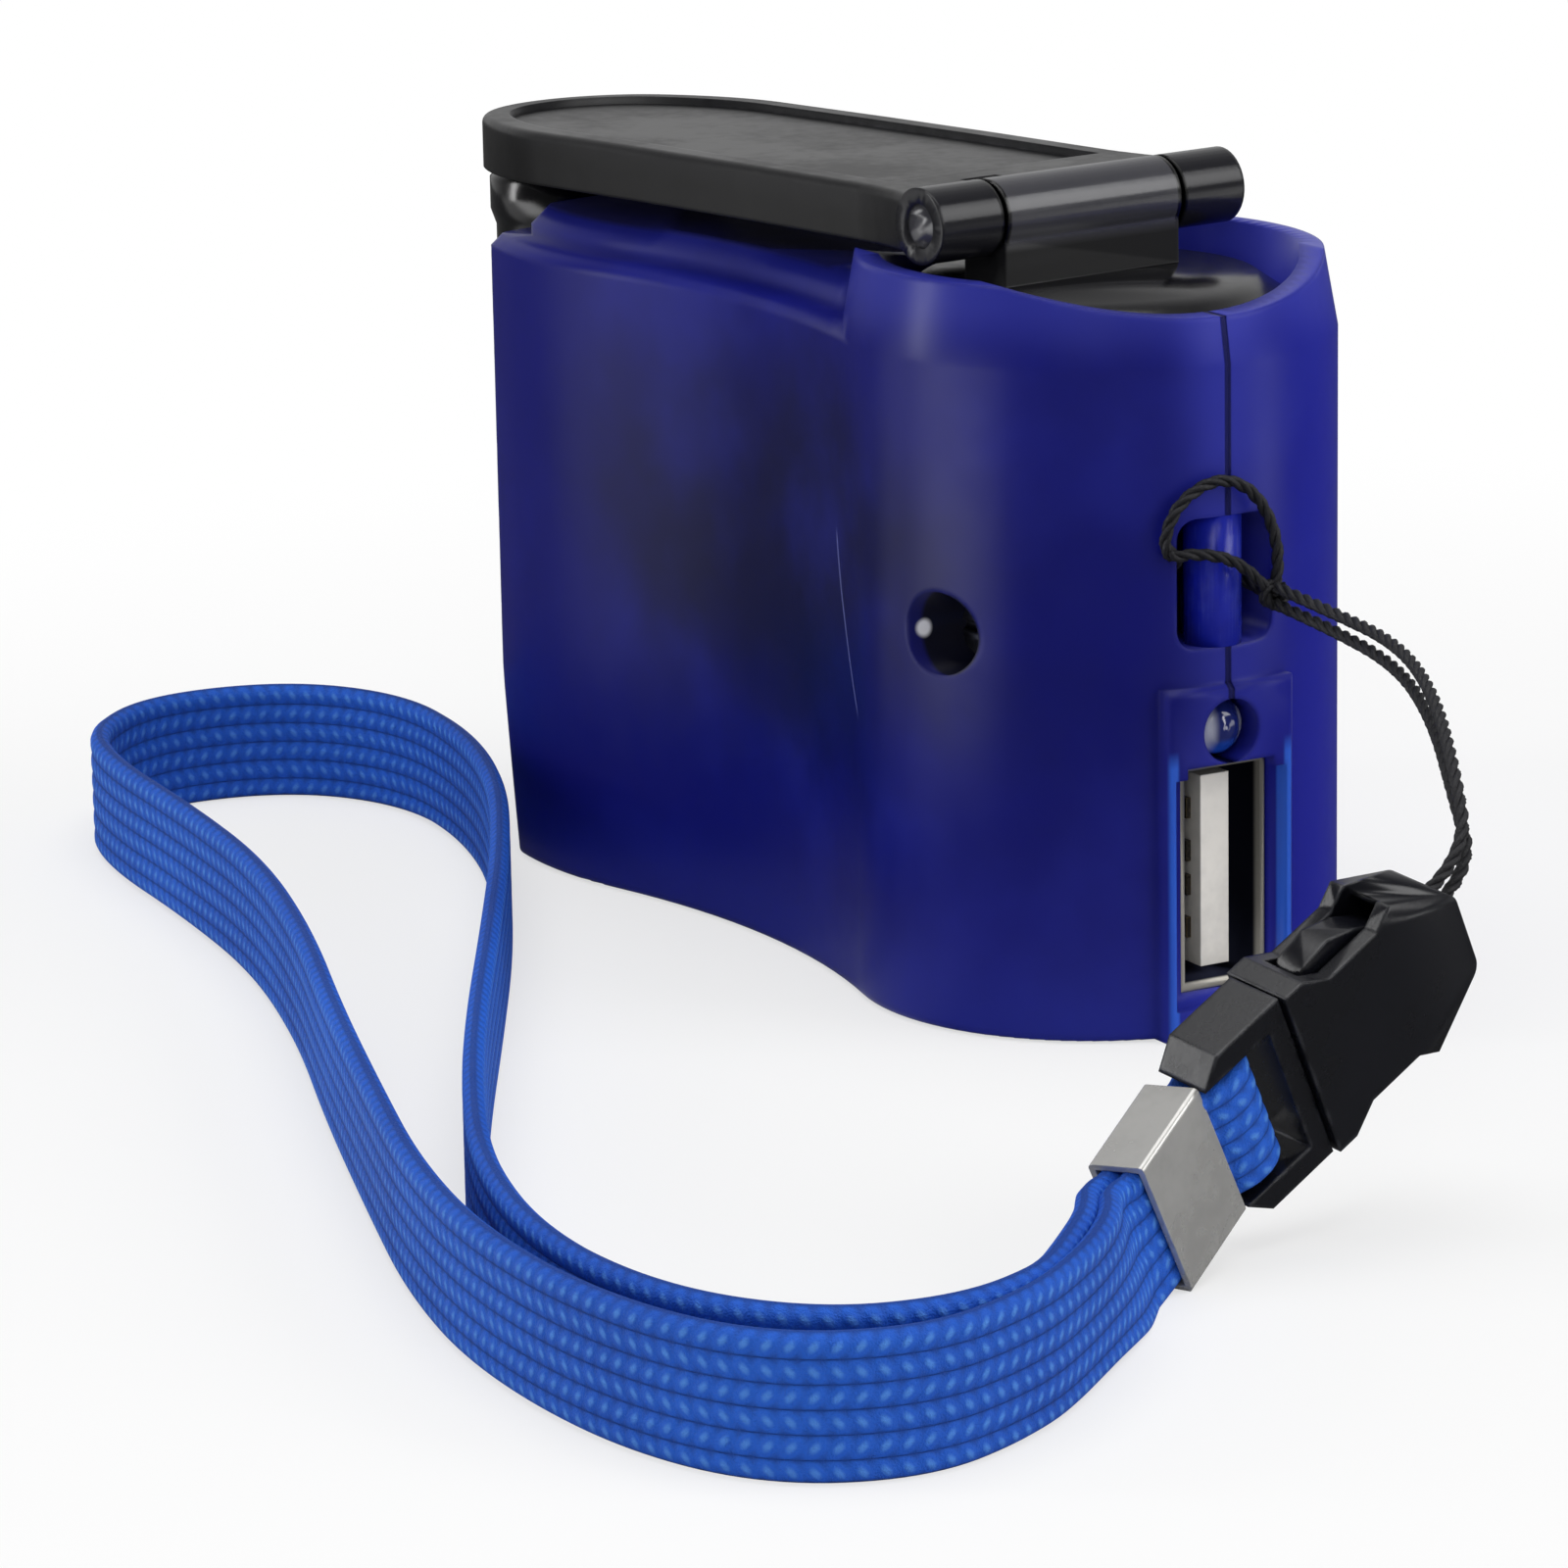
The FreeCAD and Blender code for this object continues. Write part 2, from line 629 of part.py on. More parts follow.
def crank_place(x=0.0, y=0.0, z=0.0):
    """A place in the crank's own frame, which is turned about the crank's axis."""
    turn = Rotation(UP, value("park_angle"))
    return Placement(turn.multVec(Vector(x, y, z)), turn)


GRIP_REACH = "tail_reach + grip_radius + grip_gap"


class ArmPlan:
    """Plan of the arm: a neck behind the barrel, straight sides, and an end of three arcs."""

    def __init__(self, inset):
        self.root = -value("hinge_back")
        self.full = value("barrel_half") - inset
        self.half = value("arm_half") - inset
        self.tip = -value(GRIP_REACH + " + arm_tip") + inset
        nose = value("arm_nose")
        end = value("arm_end")
        wide = value("arm_half")
        flank = ((nose - end) ** 2 + wide ** 2 - end ** 2) / (2 * (wide - end))
        self.end_radius = end - inset
        self.end_middle = Vector(self.tip + self.end_radius, 0, 0)
        self.flank_radius = flank - inset
        self.flank_middle = Vector(self.tip - inset + nose, wide - flank, 0)

    def wire(self):
        """The closed outline from the hinge axis to the tip."""
        start = Vector(self.root, self.full, 0)
        bend = Vector(self.root - value("arm_neck"), self.half, 0)
        dip = (start + bend) * 0.5 - Vector(0, (self.full - self.half) * 0.2, 0)
        shoulder = Vector(self.flank_middle.x, self.half, 0)
        way = self.end_middle - self.flank_middle
        touch = self.flank_middle + way * (self.flank_radius / way.Length)
        mirror = lambda point: Vector(point.x, -point.y, 0)
        tip = Vector(self.tip, 0, 0)
        return Part.Wire([
            Part.makeLine(mirror(start), start),
            Part.Arc(start, dip, bend).toShape(),
            Part.makeLine(bend, shoulder),
            arc(shoulder, self.flank_middle, self.flank_radius, touch),
            Part.Arc(touch, tip, mirror(touch)).toShape(),
            arc(mirror(touch), mirror(self.flank_middle), self.flank_radius, mirror(shoulder)),
            Part.makeLine(mirror(shoulder), mirror(bend)),
            Part.Arc(mirror(bend), mirror(dip), mirror(start)).toShape(),
        ])

    def prism(self, front, low, high):
        """The plan behind front, raised from low to high."""
        wire = self.wire()
        wire.translate(Vector(0, 0, low))
        solid = Part.Face(wire).extrude(Vector(0, 0, high - low))
        side = value("barrel_half") + 1
        return solid.common(block(Vector(2 * self.tip, -side, low), Vector(front, side, high)))


def arm_slab(lower, depth):
    """The arched side view of the arm, lowered from its top and of one depth, through its full width."""
    front = -value("hinge_back")
    back = -value(GRIP_REACH + " + arm_tip") - 1
    top = value("arm_top") - lower
    fall = value("arm_drop")
    bow = value("arm_sag")
    side = value("barrel_half") + 2
    middle = (front + back) / 2
    upper = [Vector(front, -side, top), Vector(middle, -side, top - fall / 2 + bow),
             Vector(back, -side, top - fall)]
    drop = Vector(0, 0, -depth)
    under = [point + drop for point in upper]
    edges = [
        Part.Arc(*upper).toShape(),
        Part.makeLine(upper[2], under[2]),
        Part.Arc(under[2], under[1], under[0]).toShape(),
        Part.makeLine(under[0], upper[0]),
    ]
    return Part.Face(Part.Wire(edges)).extrude(Vector(0, 2 * side, 0))


def arm_shape():
    """The folding arm: an arched shell with ribs, a sunken panel and two hinge knuckles."""
    slack = value("slack")
    low = value("arm_top - arm_depth - arm_drop") - 2
    high = value("arm_top") + 2
    depth = value("arm_depth")
    clear_front = -value("hinge_back + barrel_radius") - slack - 0.1
    plan = ArmPlan(0)
    body = plan.prism(-value("hinge_back"), low, high).common(arm_slab(0, depth))
    top_face = max(body.Faces, key=lambda face: face.CenterOfMass.z)
    front = -value("hinge_back") - 0.01
    body = body.makeFillet(value("arm_edge"), [edge for edge in top_face.Edges if edge.CenterOfMass.x < front])
    relief = block(Vector(clear_front, -value("knuckle_half") - slack, low),
                   Vector(0, value("knuckle_half") + slack, high))
    body = body.cut(relief)
    skin = value("arm_wall")
    hollow = ArmPlan(skin).prism(clear_front - 2.4, low, high).common(arm_slab(skin + 0.5, depth))
    pin_boss = column(-value(GRIP_REACH), 0, low, high, value("grip_pin_radius") + 1.4)
    ribs = [block(Vector(-station - 0.4, -value("barrel_half"), low),
                  Vector(-station + 0.4, value("barrel_half"), high))
            for station in [value(GRIP_REACH) * share for share in (0.26, 0.45, 0.64, 0.82)]]
    spine = block(Vector(-value(GRIP_REACH), -0.4, low), Vector(clear_front - 2.0, 0.4, high))
    hollow = hollow.cut(ribs + [spine, pin_boss])
    body = body.cut(hollow)
    border = value("arm_panel")
    panel = ArmPlan(border).prism(clear_front - 4.5, low, high)
    panel = panel.common(arm_slab(-2, 2 + value("panel_depth")))
    notch = block(Vector(clear_front - 2.2, -4.4, value("arm_top") - 1.3),
                  Vector(0, -1.8, high))
    body = body.cut([panel, notch])
    hinge_z = value("hinge_height")
    hinge_x = -value("hinge_back")
    inner = value("knuckle_half") + slack
    outer = value("barrel_half")
    knuckles = []
    for low_y, high_y in ((-outer, -inner), (inner, outer)):
        knuckles.append(cross_bar(hinge_x, hinge_z, low_y, high_y, value("barrel_radius")))
    body = body.fuse(knuckles)
    bore = cross_bar(hinge_x, hinge_z, -outer - 1, outer + 1, value("pin_radius"))
    heads = [cross_bar(hinge_x, hinge_z, -outer - 1, -outer + 0.7, value("pin_head")),
             cross_bar(hinge_x, hinge_z, outer - 0.7, outer + 1, value("pin_head"))]
    pin_hole = column(-value(GRIP_REACH), 0, low, value("arm_top - arm_drop") - 0.9,
                      value("grip_pin_radius"))
    return body.cut([bore, pin_hole] + heads)


def add_turntable():
    """The bevelled disc with its stem, and the middle knuckle on a pedestal."""
    body = new_body("turntable")
    edge = "recess_radius - disc_gap"
    revolve(body, "Disc", [
        ("0", "shaft_foot"), ("shaft_radius", "shaft_foot"), ("shaft_radius", "stem_foot"),
        ("stem_radius", "stem_foot"), ("stem_radius", "recess_floor + slack"),
        (edge, "recess_floor + slack"), (edge, "disc_edge"),
        (edge + " - disc_bevel", "disc_face"), ("0", "disc_face")])
    half = "knuckle_half"
    thick = "barrel_radius - 0.3"
    pad(body, "Pedestal",
        box_corners("-hinge_back - (%s)" % thick, "-" + half, "-hinge_back + (%s)" % thick, half),
        "disc_face - 0.4", "hinge_height - disc_face + 0.4")
    barrel = sketch_on(body, "KnuckleCircle", "XZ_Plane", "-" + half)
    draw_circle(barrel, "-hinge_back", "hinge_height", "barrel_radius")
    knuckle = body.newObject("PartDesign::Pad", "Knuckle")
    knuckle.Profile = (barrel, [""])
    knuckle.setExpression("Length", linked("2 * knuckle_half"))
    bore = sketch_on(body, "BoreCircle", "XZ_Plane", "-2 * barrel_half")
    draw_circle(bore, "-hinge_back", "hinge_height", "pin_radius + running_gap")
    hole = body.newObject("PartDesign::Pocket", "PinBore")
    hole.Profile = (bore, [""])
    hole.Reversed = True
    hole.setExpression("Length", linked("4 * barrel_half"))
    body.Tip = hole
    place(body, angle="park_angle")
    return body


def add_hinge_pin():
    """The steel pin with a head at each end of the barrel."""
    body = new_body("hinge_pin")
    revolve(body, "Pin", [
        ("0", "-barrel_half + 0.2"), ("pin_head", "-barrel_half + 0.2"), ("pin_head", "-barrel_half + 0.7"),
        ("pin_radius", "-barrel_half + 0.7"), ("pin_radius", "barrel_half - 0.7"),
        ("pin_head", "barrel_half - 0.7"), ("pin_head", "barrel_half - 0.2"), ("0", "barrel_half - 0.2")])
    upright = Placement(Vector(-value("hinge_back"), 0, value("hinge_height")),
                        Rotation(Vector(1, 0, 0), 90))
    body.Placement = crank_place().multiply(upright)
    return body


def add_grip():
    """The turning grip, waisted for the fingers, with a well for its pin's head."""
    body = new_body("grip")
    revolve(body, "Sleeve", [
        ("grip_pin_radius + running_gap", "head_depth + 0.5"),
        ("grip_pin_head + slack", "head_depth + 0.5"),
        ("grip_pin_head + slack", "0"),
        ("grip_radius - 0.8", "0"), ("grip_radius", "0.8"), ("grip_radius", "2.6"),
        ("grip_radius - 0.35", "3.6"), ("grip_radius - 0.35", "grip_top - grip_foot - 3.6"),
        ("grip_radius", "grip_top - grip_foot - 2.6"), ("grip_radius", "grip_top - grip_foot - 0.6"),
        ("grip_radius - 0.6", "grip_top - grip_foot"),
        ("grip_pin_radius + running_gap", "grip_top - grip_foot")])
    body.Placement = crank_place(-value(GRIP_REACH), 0, value("grip_foot"))
    return body


def add_grip_pin():
    """The pin that carries the grip, with its head in the grip's lower end."""
    body = new_body("grip_pin")
    top = "arm_top - arm_drop - 0.9 - grip_foot"
    revolve(body, "Pin", [
        ("0", "0.2"), ("grip_pin_head", "0.2"), ("grip_pin_head", "0.2 + head_depth"),
        ("grip_pin_radius", "0.2 + head_depth"), ("grip_pin_radius", top), ("0", top)])
    body.Placement = crank_place(-value(GRIP_REACH), 0, value("grip_foot"))
    return body


# ---------------------------------------------------------------- generator

def add_generator():
    """Can, end cap, rotor shaft and rotor core, all about the rotor's axis."""
    can = new_body("generator_can")
    inner = "can_radius - can_wall"
    revolve(can, "Can", [
        ("axle_radius + running_gap", "0"), ("can_radius", "0"), ("can_radius", "can_height - 1"),
        (inner, "can_height - 1"), (inner, "can_wall"), ("axle_radius + 1.5", "can_wall"),
        ("axle_radius + 1.5", "2.4"), ("axle_radius + running_gap", "2.4")])
    cap = new_body("generator_cap")
    revolve(cap, "Cap", [
        ("axle_radius + running_gap", "can_height - 3"), ("axle_radius + 1.5", "can_height - 3"),
        ("axle_radius + 1.5", "can_height - 1.8"), (inner, "can_height - 1.8"),
        (inner, "can_height - 1"), ("can_radius", "can_height - 1"),
        ("can_radius", "can_height"), ("axle_radius + running_gap", "can_height")])
    core = new_body("rotor_core")
    revolve(core, "Core", [
        ("axle_radius", "3.4"), ("rotor_radius", "3.4"), ("rotor_radius", "can_height - 4.5"),
        ("axle_radius", "can_height - 4.5")])
    shaft = new_body("rotor_shaft")
    top = "lower_gears + gear_face + 0.3 - can_foot"
    revolve(shaft, "Shaft", [("0", "0.3"), ("axle_radius", "0.3"), ("axle_radius", top), ("0", top)])
    station = "-tooth_module * (crank_teeth + idler_teeth + wheel_teeth + rotor_teeth) / 2"
    for item in (can, cap, core, shaft):
        place(item, x=station, z="can_foot")


def add_idler_axle():
    """The idler's axle, from the gear plate to the housing's roof."""
    axle = new_body("idler_axle")
    revolve(axle, "Axle", [
        ("0", "0"), ("axle_radius", "0"),
        ("axle_radius", "deck_height - roof / 2 - can_foot - can_height - 0.1"),
        ("0", "deck_height - roof / 2 - can_foot - can_height - 0.1")])
    place(axle, x="-tooth_module * (crank_teeth + idler_teeth) / 2", z="can_foot + can_height")


def add_retaining_washer():
    """The washer and screw under the crank gear."""
    washer = new_body("gear_washer")
    revolve(washer, "Washer", [
        ("shaft_radius", "upper_gears - 0.8"), ("shaft_radius + 1.9", "upper_gears - 0.8"),
        ("shaft_radius + 1.9", "upper_gears"), ("shaft_radius", "upper_gears")])
    place(washer)


# ---------------------------------------------------------------- port, lamp and board

PORT_BACK = "pad_reach - port_setback - port_depth"
BOARD_FACE = "port_short / 2 + shell_sheet"


def add_port():
    """The port: a sheet shell with its long side upright, a tongue and four contacts."""
    shell = doc.addObject("Part::Box", "PortOuter")
    hollow = doc.addObject("Part::Box", "PortInner")
    for item, extra, lift in ((shell, "2 * shell_sheet", "0"), (hollow, "0", "0.6")):
        item.setExpression("Length", linked("port_depth + (%s)" % lift))
        item.setExpression("Width", linked("port_short + (%s)" % extra))
        item.setExpression("Height", linked("port_long + (%s)" % extra))
    place(shell, x=PORT_BACK, y="-port_short / 2 - shell_sheet", z="port_height - port_long / 2 - shell_sheet")
    place(hollow, x="%s + 0.6" % PORT_BACK, y="-port_short / 2", z="port_height - port_long / 2")
    cut = doc.addObject("Part::Cut", "PortShell")
    cut.Base = shell
    cut.Tool = hollow
    finish_node(cut, "port_shell")
    tongue = doc.addObject("Part::Box", "PortTongue")
    tongue.setExpression("Length", linked("port_depth - 1.6"))
    tongue.setExpression("Width", linked("tongue_depth"))
    tongue.setExpression("Height", linked("port_long - 1.3"))
    place(tongue, x="%s + 0.6" % PORT_BACK, y="tongue_side - tongue_depth / 2",
          z="port_height - port_long / 2 + 0.65")
    finish_node(tongue, "port_tongue")
    for index, offset in enumerate((-3.5, -1.0, 1.0, 3.5), start=1):
        contact = doc.addObject("Part::Box", "PortContact%d" % index)
        contact.setExpression("Length", linked("port_depth - 2.6"))
        contact.setExpression("Width", linked("contact_depth"))
        contact.setExpression("Height", linked("contact_width"))
        place(contact, x="%s + 0.6" % PORT_BACK, y="tongue_side - tongue_depth / 2 - contact_depth",
              z="port_height + (%s) - contact_width / 2" % offset)
        finish_node(contact, "port_contact_%d" % index)


def add_lamp():
    """The clear charge lamp above the port, lying along X with a domed tip."""
    lamp = new_body("charge_lamp")
    radius = "lamp_radius"
    revolve(lamp, "Lamp", [
        ("0", "0"), (radius, "0"), (radius, "lamp_length - 1.2"), (radius + " * 0.86", "lamp_length - 0.4"),
        (radius + " * 0.5", "lamp_length + 0.2"), ("0", "lamp_length + 0.4")])
    front = value("pad_reach - 0.9 - lamp_length")
    lamp.Placement = Placement(Vector(front, 0, value("lamp_height")), Rotation(ACROSS, 90))


def add_board():
    """The circuit board beside the port, with the storage capacitor on it."""
    board = doc.addObject("Part::Box", "Board")
    board.setExpression("Length", linked("board_front + board_back"))
    board.setExpression("Width", linked("board_depth"))
    board.setExpression("Height", linked("board_top - board_foot"))
    place(board, x="-board_back", y=BOARD_FACE, z="board_foot")
    finish_node(board, "circuit_board")
    store = new_body("storage_capacitor")
    revolve(store, "Can", [
        ("0", "0"), ("store_radius", "0"), ("store_radius", "store_length - 0.5"),
        ("store_radius - 0.5", "store_length"), ("0", "store_length")])
    place(store, x="-board_back / 2", y="%s - store_radius" % BOARD_FACE, z="board_foot + 1.5")


def add_case_screw():
    """The screw that holds the halves together, with a slotted head in the well."""
    screw = new_body("case_screw")
    revolve(screw, "Screw", [
        ("0", "-screw_length"), ("screw_shank * 0.3", "-screw_length"), ("screw_shank", "-screw_length + 1.5"),
        ("screw_shank", "0"), ("screw_head", "0"), ("screw_head", "0.8"), ("screw_head - 0.7", "1.5"),
        ("0", "1.5")])
    slot = sketch_on(screw, "SlotOutline", "XY_Plane", "1.5")
    draw_outline(slot, box_corners("-2 * screw_head", "-0.3", "2 * screw_head", "0.3"))
    groove = screw.newObject("PartDesign::Pocket", "Slot")
    groove.Profile = (slot, [""])
    groove.Length = 0.7
    screw.Tip = groove
    screw.Placement = Placement(Vector(value("screw_station"), -value("screw_depth"), value("screw_height")),
                                Rotation(Vector(1, 0, 0), 90))


def add_lanyard_post():
    """The post across the lanyard pocket."""
    post = new_body("lanyard_post")
    revolve(post, "Post", [
        ("0", "pocket_foot"), ("post_radius", "pocket_foot"), ("post_radius", "pocket_top"),
        ("0", "pocket_top")])
    place(post, x="post_station")


# ---------------------------------------------------------------- strap, buckle and string

def rounded_route(points, name):
    """Straight runs joined by arcs that take 0.45 of the shorter run beside each corner."""
    edges = []
    radii = []
    start = points[0]
    for before, here, after in zip(points, points[1:], points[2:]):
        inward = here - before
        outward = after - here
        reach = 0.45 * min(inward.Length, outward.Length)
        turn = inward.getAngle(outward)
        inward.normalize()
        outward.normalize()
        radius = reach / math.tan(turn / 2)
        towards = outward - inward
        towards.normalize()
        enter = here - inward * reach
        leave = here + outward * reach
        middle = here + towards * (radius / math.cos(turn / 2) - radius)
        edges.append(Part.LineSegment(start, enter).toShape())
        edges.append(Part.Arc(enter, middle, leave).toShape())
        radii.append(radius)
        start = leave
    edges.append(Part.LineSegment(start, points[-1]).toShape())
    print("%s: length %.1f, radii %s" % (name, sum(edge.Length for edge in edges),
                                         ", ".join("%.1f" % radius for radius in radii)))
    return Part.Wire(edges)


def cord(name, points, radius):
    """A round cord along its route."""
    route = rounded_route(points, name)
    section = Part.Wire(Part.makeCircle(radius, points[0], points[1] - points[0]))
    solid = route.makePipeShell([section], True, True)
    print("%s: volume %.2f of %.2f" % (name, solid.Volume, math.pi * radius ** 2 * route.Length))
    return solid


def ribbon(name, points, thickness, width):
    """A flat band that stands on its edge along its route."""
    route = rounded_route(points, name)
    half = thickness / 2
    first = route.Edges[0]
    start = points[0]
    along = points[1] - points[0]
    along.normalize()
    side = Vector(-along.y, along.x, 0)
    section = Part.makePolygon([start + side * half, start + side * half + UP * width,
                                start - side * half + UP * width, start - side * half,
                                start + side * half])
    solid = route.makePipeShell([section], True, True)
    print("%s: volume %.2f of %.2f" % (name, solid.Volume, thickness * width * route.Length))
    return solid


STRAP_ROUTE = [
    (57.0, -35.2), (61.4, -40.0), (65.3, -45.4), (67.6, -52.6), (64.2, -59.6), (55.4, -62.9), (43.0, -63.0),
    (31.0, -60.5), (17.5, -56.0), (3.0, -51.0), (-12.0, -45.4), (-27.0, -41.0), (-41.0, -39.0),
    (-54.0, -37.9), (-62.4, -35.4), (-67.6, -28.8), (-66.0, -19.6), (-58.4, -15.2), (-48.0, -16.2),
    (-36.0, -20.2), (-22.0, -27.4), (-6.0, -36.6), (8.0, -44.8), (20.0, -51.4), (32.0, -57.2),
    (44.5, -60.6), (55.6, -60.0), (62.6, -55.6), (64.6, -49.0), (62.6, -43.0), (59.4, -39.75), (56.0, -36.05)]


def buckle_frame():
    """The buckle's frame: its length along X from the socket's mouth, its thickness along Y."""
    turn = Rotation(value("buckle_turn"), -value("buckle_rise"), value("buckle_lean"))
    return Placement(Vector(value("buckle_x"), value("buckle_y"), value("buckle_z")), turn)


def layer_offset():
    """Distance of a strap layer's middle from the middle of the pair."""
    return value("(strap_depth + strap_gap) / 2")


def crimp_frame():
    """The crimp's frame: its front end at the origin, its length along X."""
    front = buckle_frame().multVec(Vector(-value("plug_length + crimp_room"), 0, 0))
    return Placement(front, Rotation(value("crimp_turn"), -value("crimp_rise"), value("crimp_lean")))


def riser(side):
    """One layer of the strap from the table up into the crimp: it climbs and twists."""
    frame = crimp_frame()
    lead = Vector(STRAP_ROUTE[0][0] - STRAP_ROUTE[1][0], STRAP_ROUTE[0][1] - STRAP_ROUTE[1][1], 0)
    lead.normalize()
    tail = Vector(STRAP_ROUTE[-1][0], STRAP_ROUTE[-1][1], 0)
    head = Vector(STRAP_ROUTE[0][0], STRAP_ROUTE[0][1], 0)
    width = value("strap_width")
    foot = (head + tail) * 0.5 + UP * (width / 2)
    crimp = frame.multVec(Vector(-value("crimp_length"), 0, 0))
    along = frame.Rotation.multVec(Vector(1, 0, 0))
    upright = frame.Rotation.multVec(UP)
    reach = (crimp - foot).Length
    climb = reach * 0.45
    sections = []
    steps = 12
    centres = []
    for step in range(steps + 1):
        share = step / steps
        rest = 1 - share
        point = (foot * (rest * rest * (1 + 2 * share)) + crimp * (share * share * (3 - 2 * share))
                 + lead * (reach * share * rest * rest) - along * (climb * share * share * rest)
                 + UP * (1.6 * share * rest))
        tangent = (foot * (-6 * share * rest) + crimp * (6 * share * rest)
                   + lead * (reach * rest * (1 - 3 * share)) - along * (climb * share * (2 - 3 * share)))
        tangent.normalize()
        ease = share * share * (3 - 2 * share)
        up = UP * (1 - ease) + upright * ease
        centres.append((point, tangent, up))
    centres.append((crimp + along * value("crimp_length / 2"), along, upright))
    for point, tangent, up in centres:
        across = up.cross(tangent)
        across.normalize()
        up = tangent.cross(across)
        middle = point + across * (side * layer_offset())
        half = across * value("strap_depth / 2")
        rise = up * (width / 2)
        corners = [middle + half - rise, middle + half + rise, middle - half + rise, middle - half - rise]
        sections.append(Part.makePolygon(corners + [corners[0]]))
    return Part.makeLoft(sections, True, True)


def strap_shape(crimp):
    """The loop on the table, with both ends rising into the crimp."""
    flat = [Vector(x, y, 0) for x, y in STRAP_ROUTE]
    loop = ribbon("strap_loop", flat, value("strap_depth"), value("strap_width"))
    return loop, [riser(-1).cut([loop, crimp]), riser(1).cut([loop, crimp])]


def crimp_shape():
    """The folded sheet that clamps the strap's layers."""
    half_length = value("crimp_length / 2")
    inner = value("strap_depth + strap_gap")
    metal = value("crimp_sheet")
    high = value("strap_width / 2 + strap_gap / 2")
    middle = -half_length
    body = block(Vector(middle - half_length, -inner - metal, -high - metal),
                 Vector(middle + half_length, inner + metal, high + metal))
    long_edges = [edge for edge in body.Edges if abs(edge.Length - 2 * half_length) < 1e-6]
    body = body.makeFillet(metal * 0.8, long_edges)
    room = block(Vector(middle - half_length - 1, -inner, -high), Vector(middle + half_length + 1, inner, high))
    return body.cut(room)


def placed(shape, frame):
    """A copy of a shape in another place."""
    other = shape.copy()
    other.Placement = frame
    return other


def plate(points, low, high):
    """A flat outline in the buckle's XZ plane, raised from low to high across its thickness."""
    corners = [Vector(x, low, z) for x, z in points]
    return Part.Face(Part.makePolygon(corners + [corners[0]])).extrude(Vector(0, high - low, 0))


def socket_shape():
    """The buckle's socket: a sleeve that narrows to its nose, with a window for each prong."""
    length = value("socket_length")
    half = value("buckle_width / 2")
    depth = value("buckle_depth / 2")
    nose = value("nose_width / 2")
    wall = value("socket_wall")
    shoulder = length * 0.62
    body = plate([(0, -half), (0, half), (shoulder, half), (length, nose), (length, -nose),
                  (shoulder, -half)], -depth, depth)
    corners = [edge for edge in body.Edges if abs(edge.Length - 2 * depth) < 1e-6 and edge.CenterOfMass.x > 1]
    body = body.makeFillet(1.1, corners)
    room = plate([(-1, -half + wall), (-1, half - wall), (shoulder + 1, half - wall), (length - 2, nose - 0.4),
                  (length - 2, -nose + 0.4), (shoulder + 1, -half + wall)], -depth + wall, depth - wall)
    windows = []
    for side in (-1, 1):
        windows.append(plate([(1.8, side * (half - 1.6)), (shoulder + 0.6, side * (half - 1.6)),
                              (shoulder + 0.6, side * (half + 1)), (1.8, side * (half + 1))],
                             -depth + wall, depth - wall))
        windows.append(plate([(1.3, side * (half + 1)), (1.3, side * half), (3.0, side * (half - 1.1)),
                              (shoulder - 0.8, side * (half - 1.1)), (shoulder + 0.9, side * half),
                              (shoulder + 0.9, side * (half + 1))], -depth - 1, depth + 1))
    return body.cut([room] + windows)


def plug_shape():
    """The buckle's plug: a loop for the strap, a centre guide and two sprung prongs."""
    half = value("buckle_width / 2")
    depth = value("buckle_depth / 2 - socket_wall - slack")
    rail = value("plug_rail")
    bar = value("plug_bar")
    length = value("plug_length")
    shoulder = value("slack / 2")
    frame_depth = value("buckle_depth / 2") - 0.4
    cut_corner = rail
    frame = plate([(-length, -half + cut_corner), (-length, half - cut_corner), (-length + cut_corner, half),
                   (-shoulder, half), (-shoulder, -half), (-length + cut_corner, -half)],
                  -frame_depth, frame_depth)
    inside = half - rail
    setback = value("bar_setback")
    bar_front = -length + setback + bar
    slot = block(Vector(bar_front, -frame_depth - 1, -inside), Vector(-shoulder - 1.2, frame_depth + 1, inside))
    thin = bar / 2
    mouth = block(Vector(-length - 1, -frame_depth - 1, -inside), Vector(-length + setback, frame_depth + 1, inside))
    reliefs = [mouth,
               block(Vector(-length, thin, -inside), Vector(bar_front, frame_depth + 1, inside)),
               block(Vector(-length, -frame_depth - 1, -inside), Vector(bar_front, -thin, inside))]
    wall = value("socket_wall")
    slack = value("slack")
    root = half - wall - slack
    reach = value("prong_length")
    arms = []
    for side in (-1, 1):
        arms.append(plate([(-shoulder - 0.5, side * (root - 1.6)), (-shoulder - 0.5, side * (root - 0.2)),
                           (1.8, side * (root - 0.2)), (2.4, side * (half - 0.5)), (4.4, side * (half - 0.2)),
                           (6.2, side * (half - 0.9)), (reach, side * (root - 1.0)),
                           (reach - 0.4, side * (root - 2.2)), (5.4, side * (root - 1.0)),
                           (2.6, side * (root - 1.5))], -depth, depth))
    guide = block(Vector(-shoulder - 0.5, -depth, -0.55), Vector(reach * 0.8, depth, 0.55))
    return frame.cut([slot] + reliefs).fuse(arms + [guide])


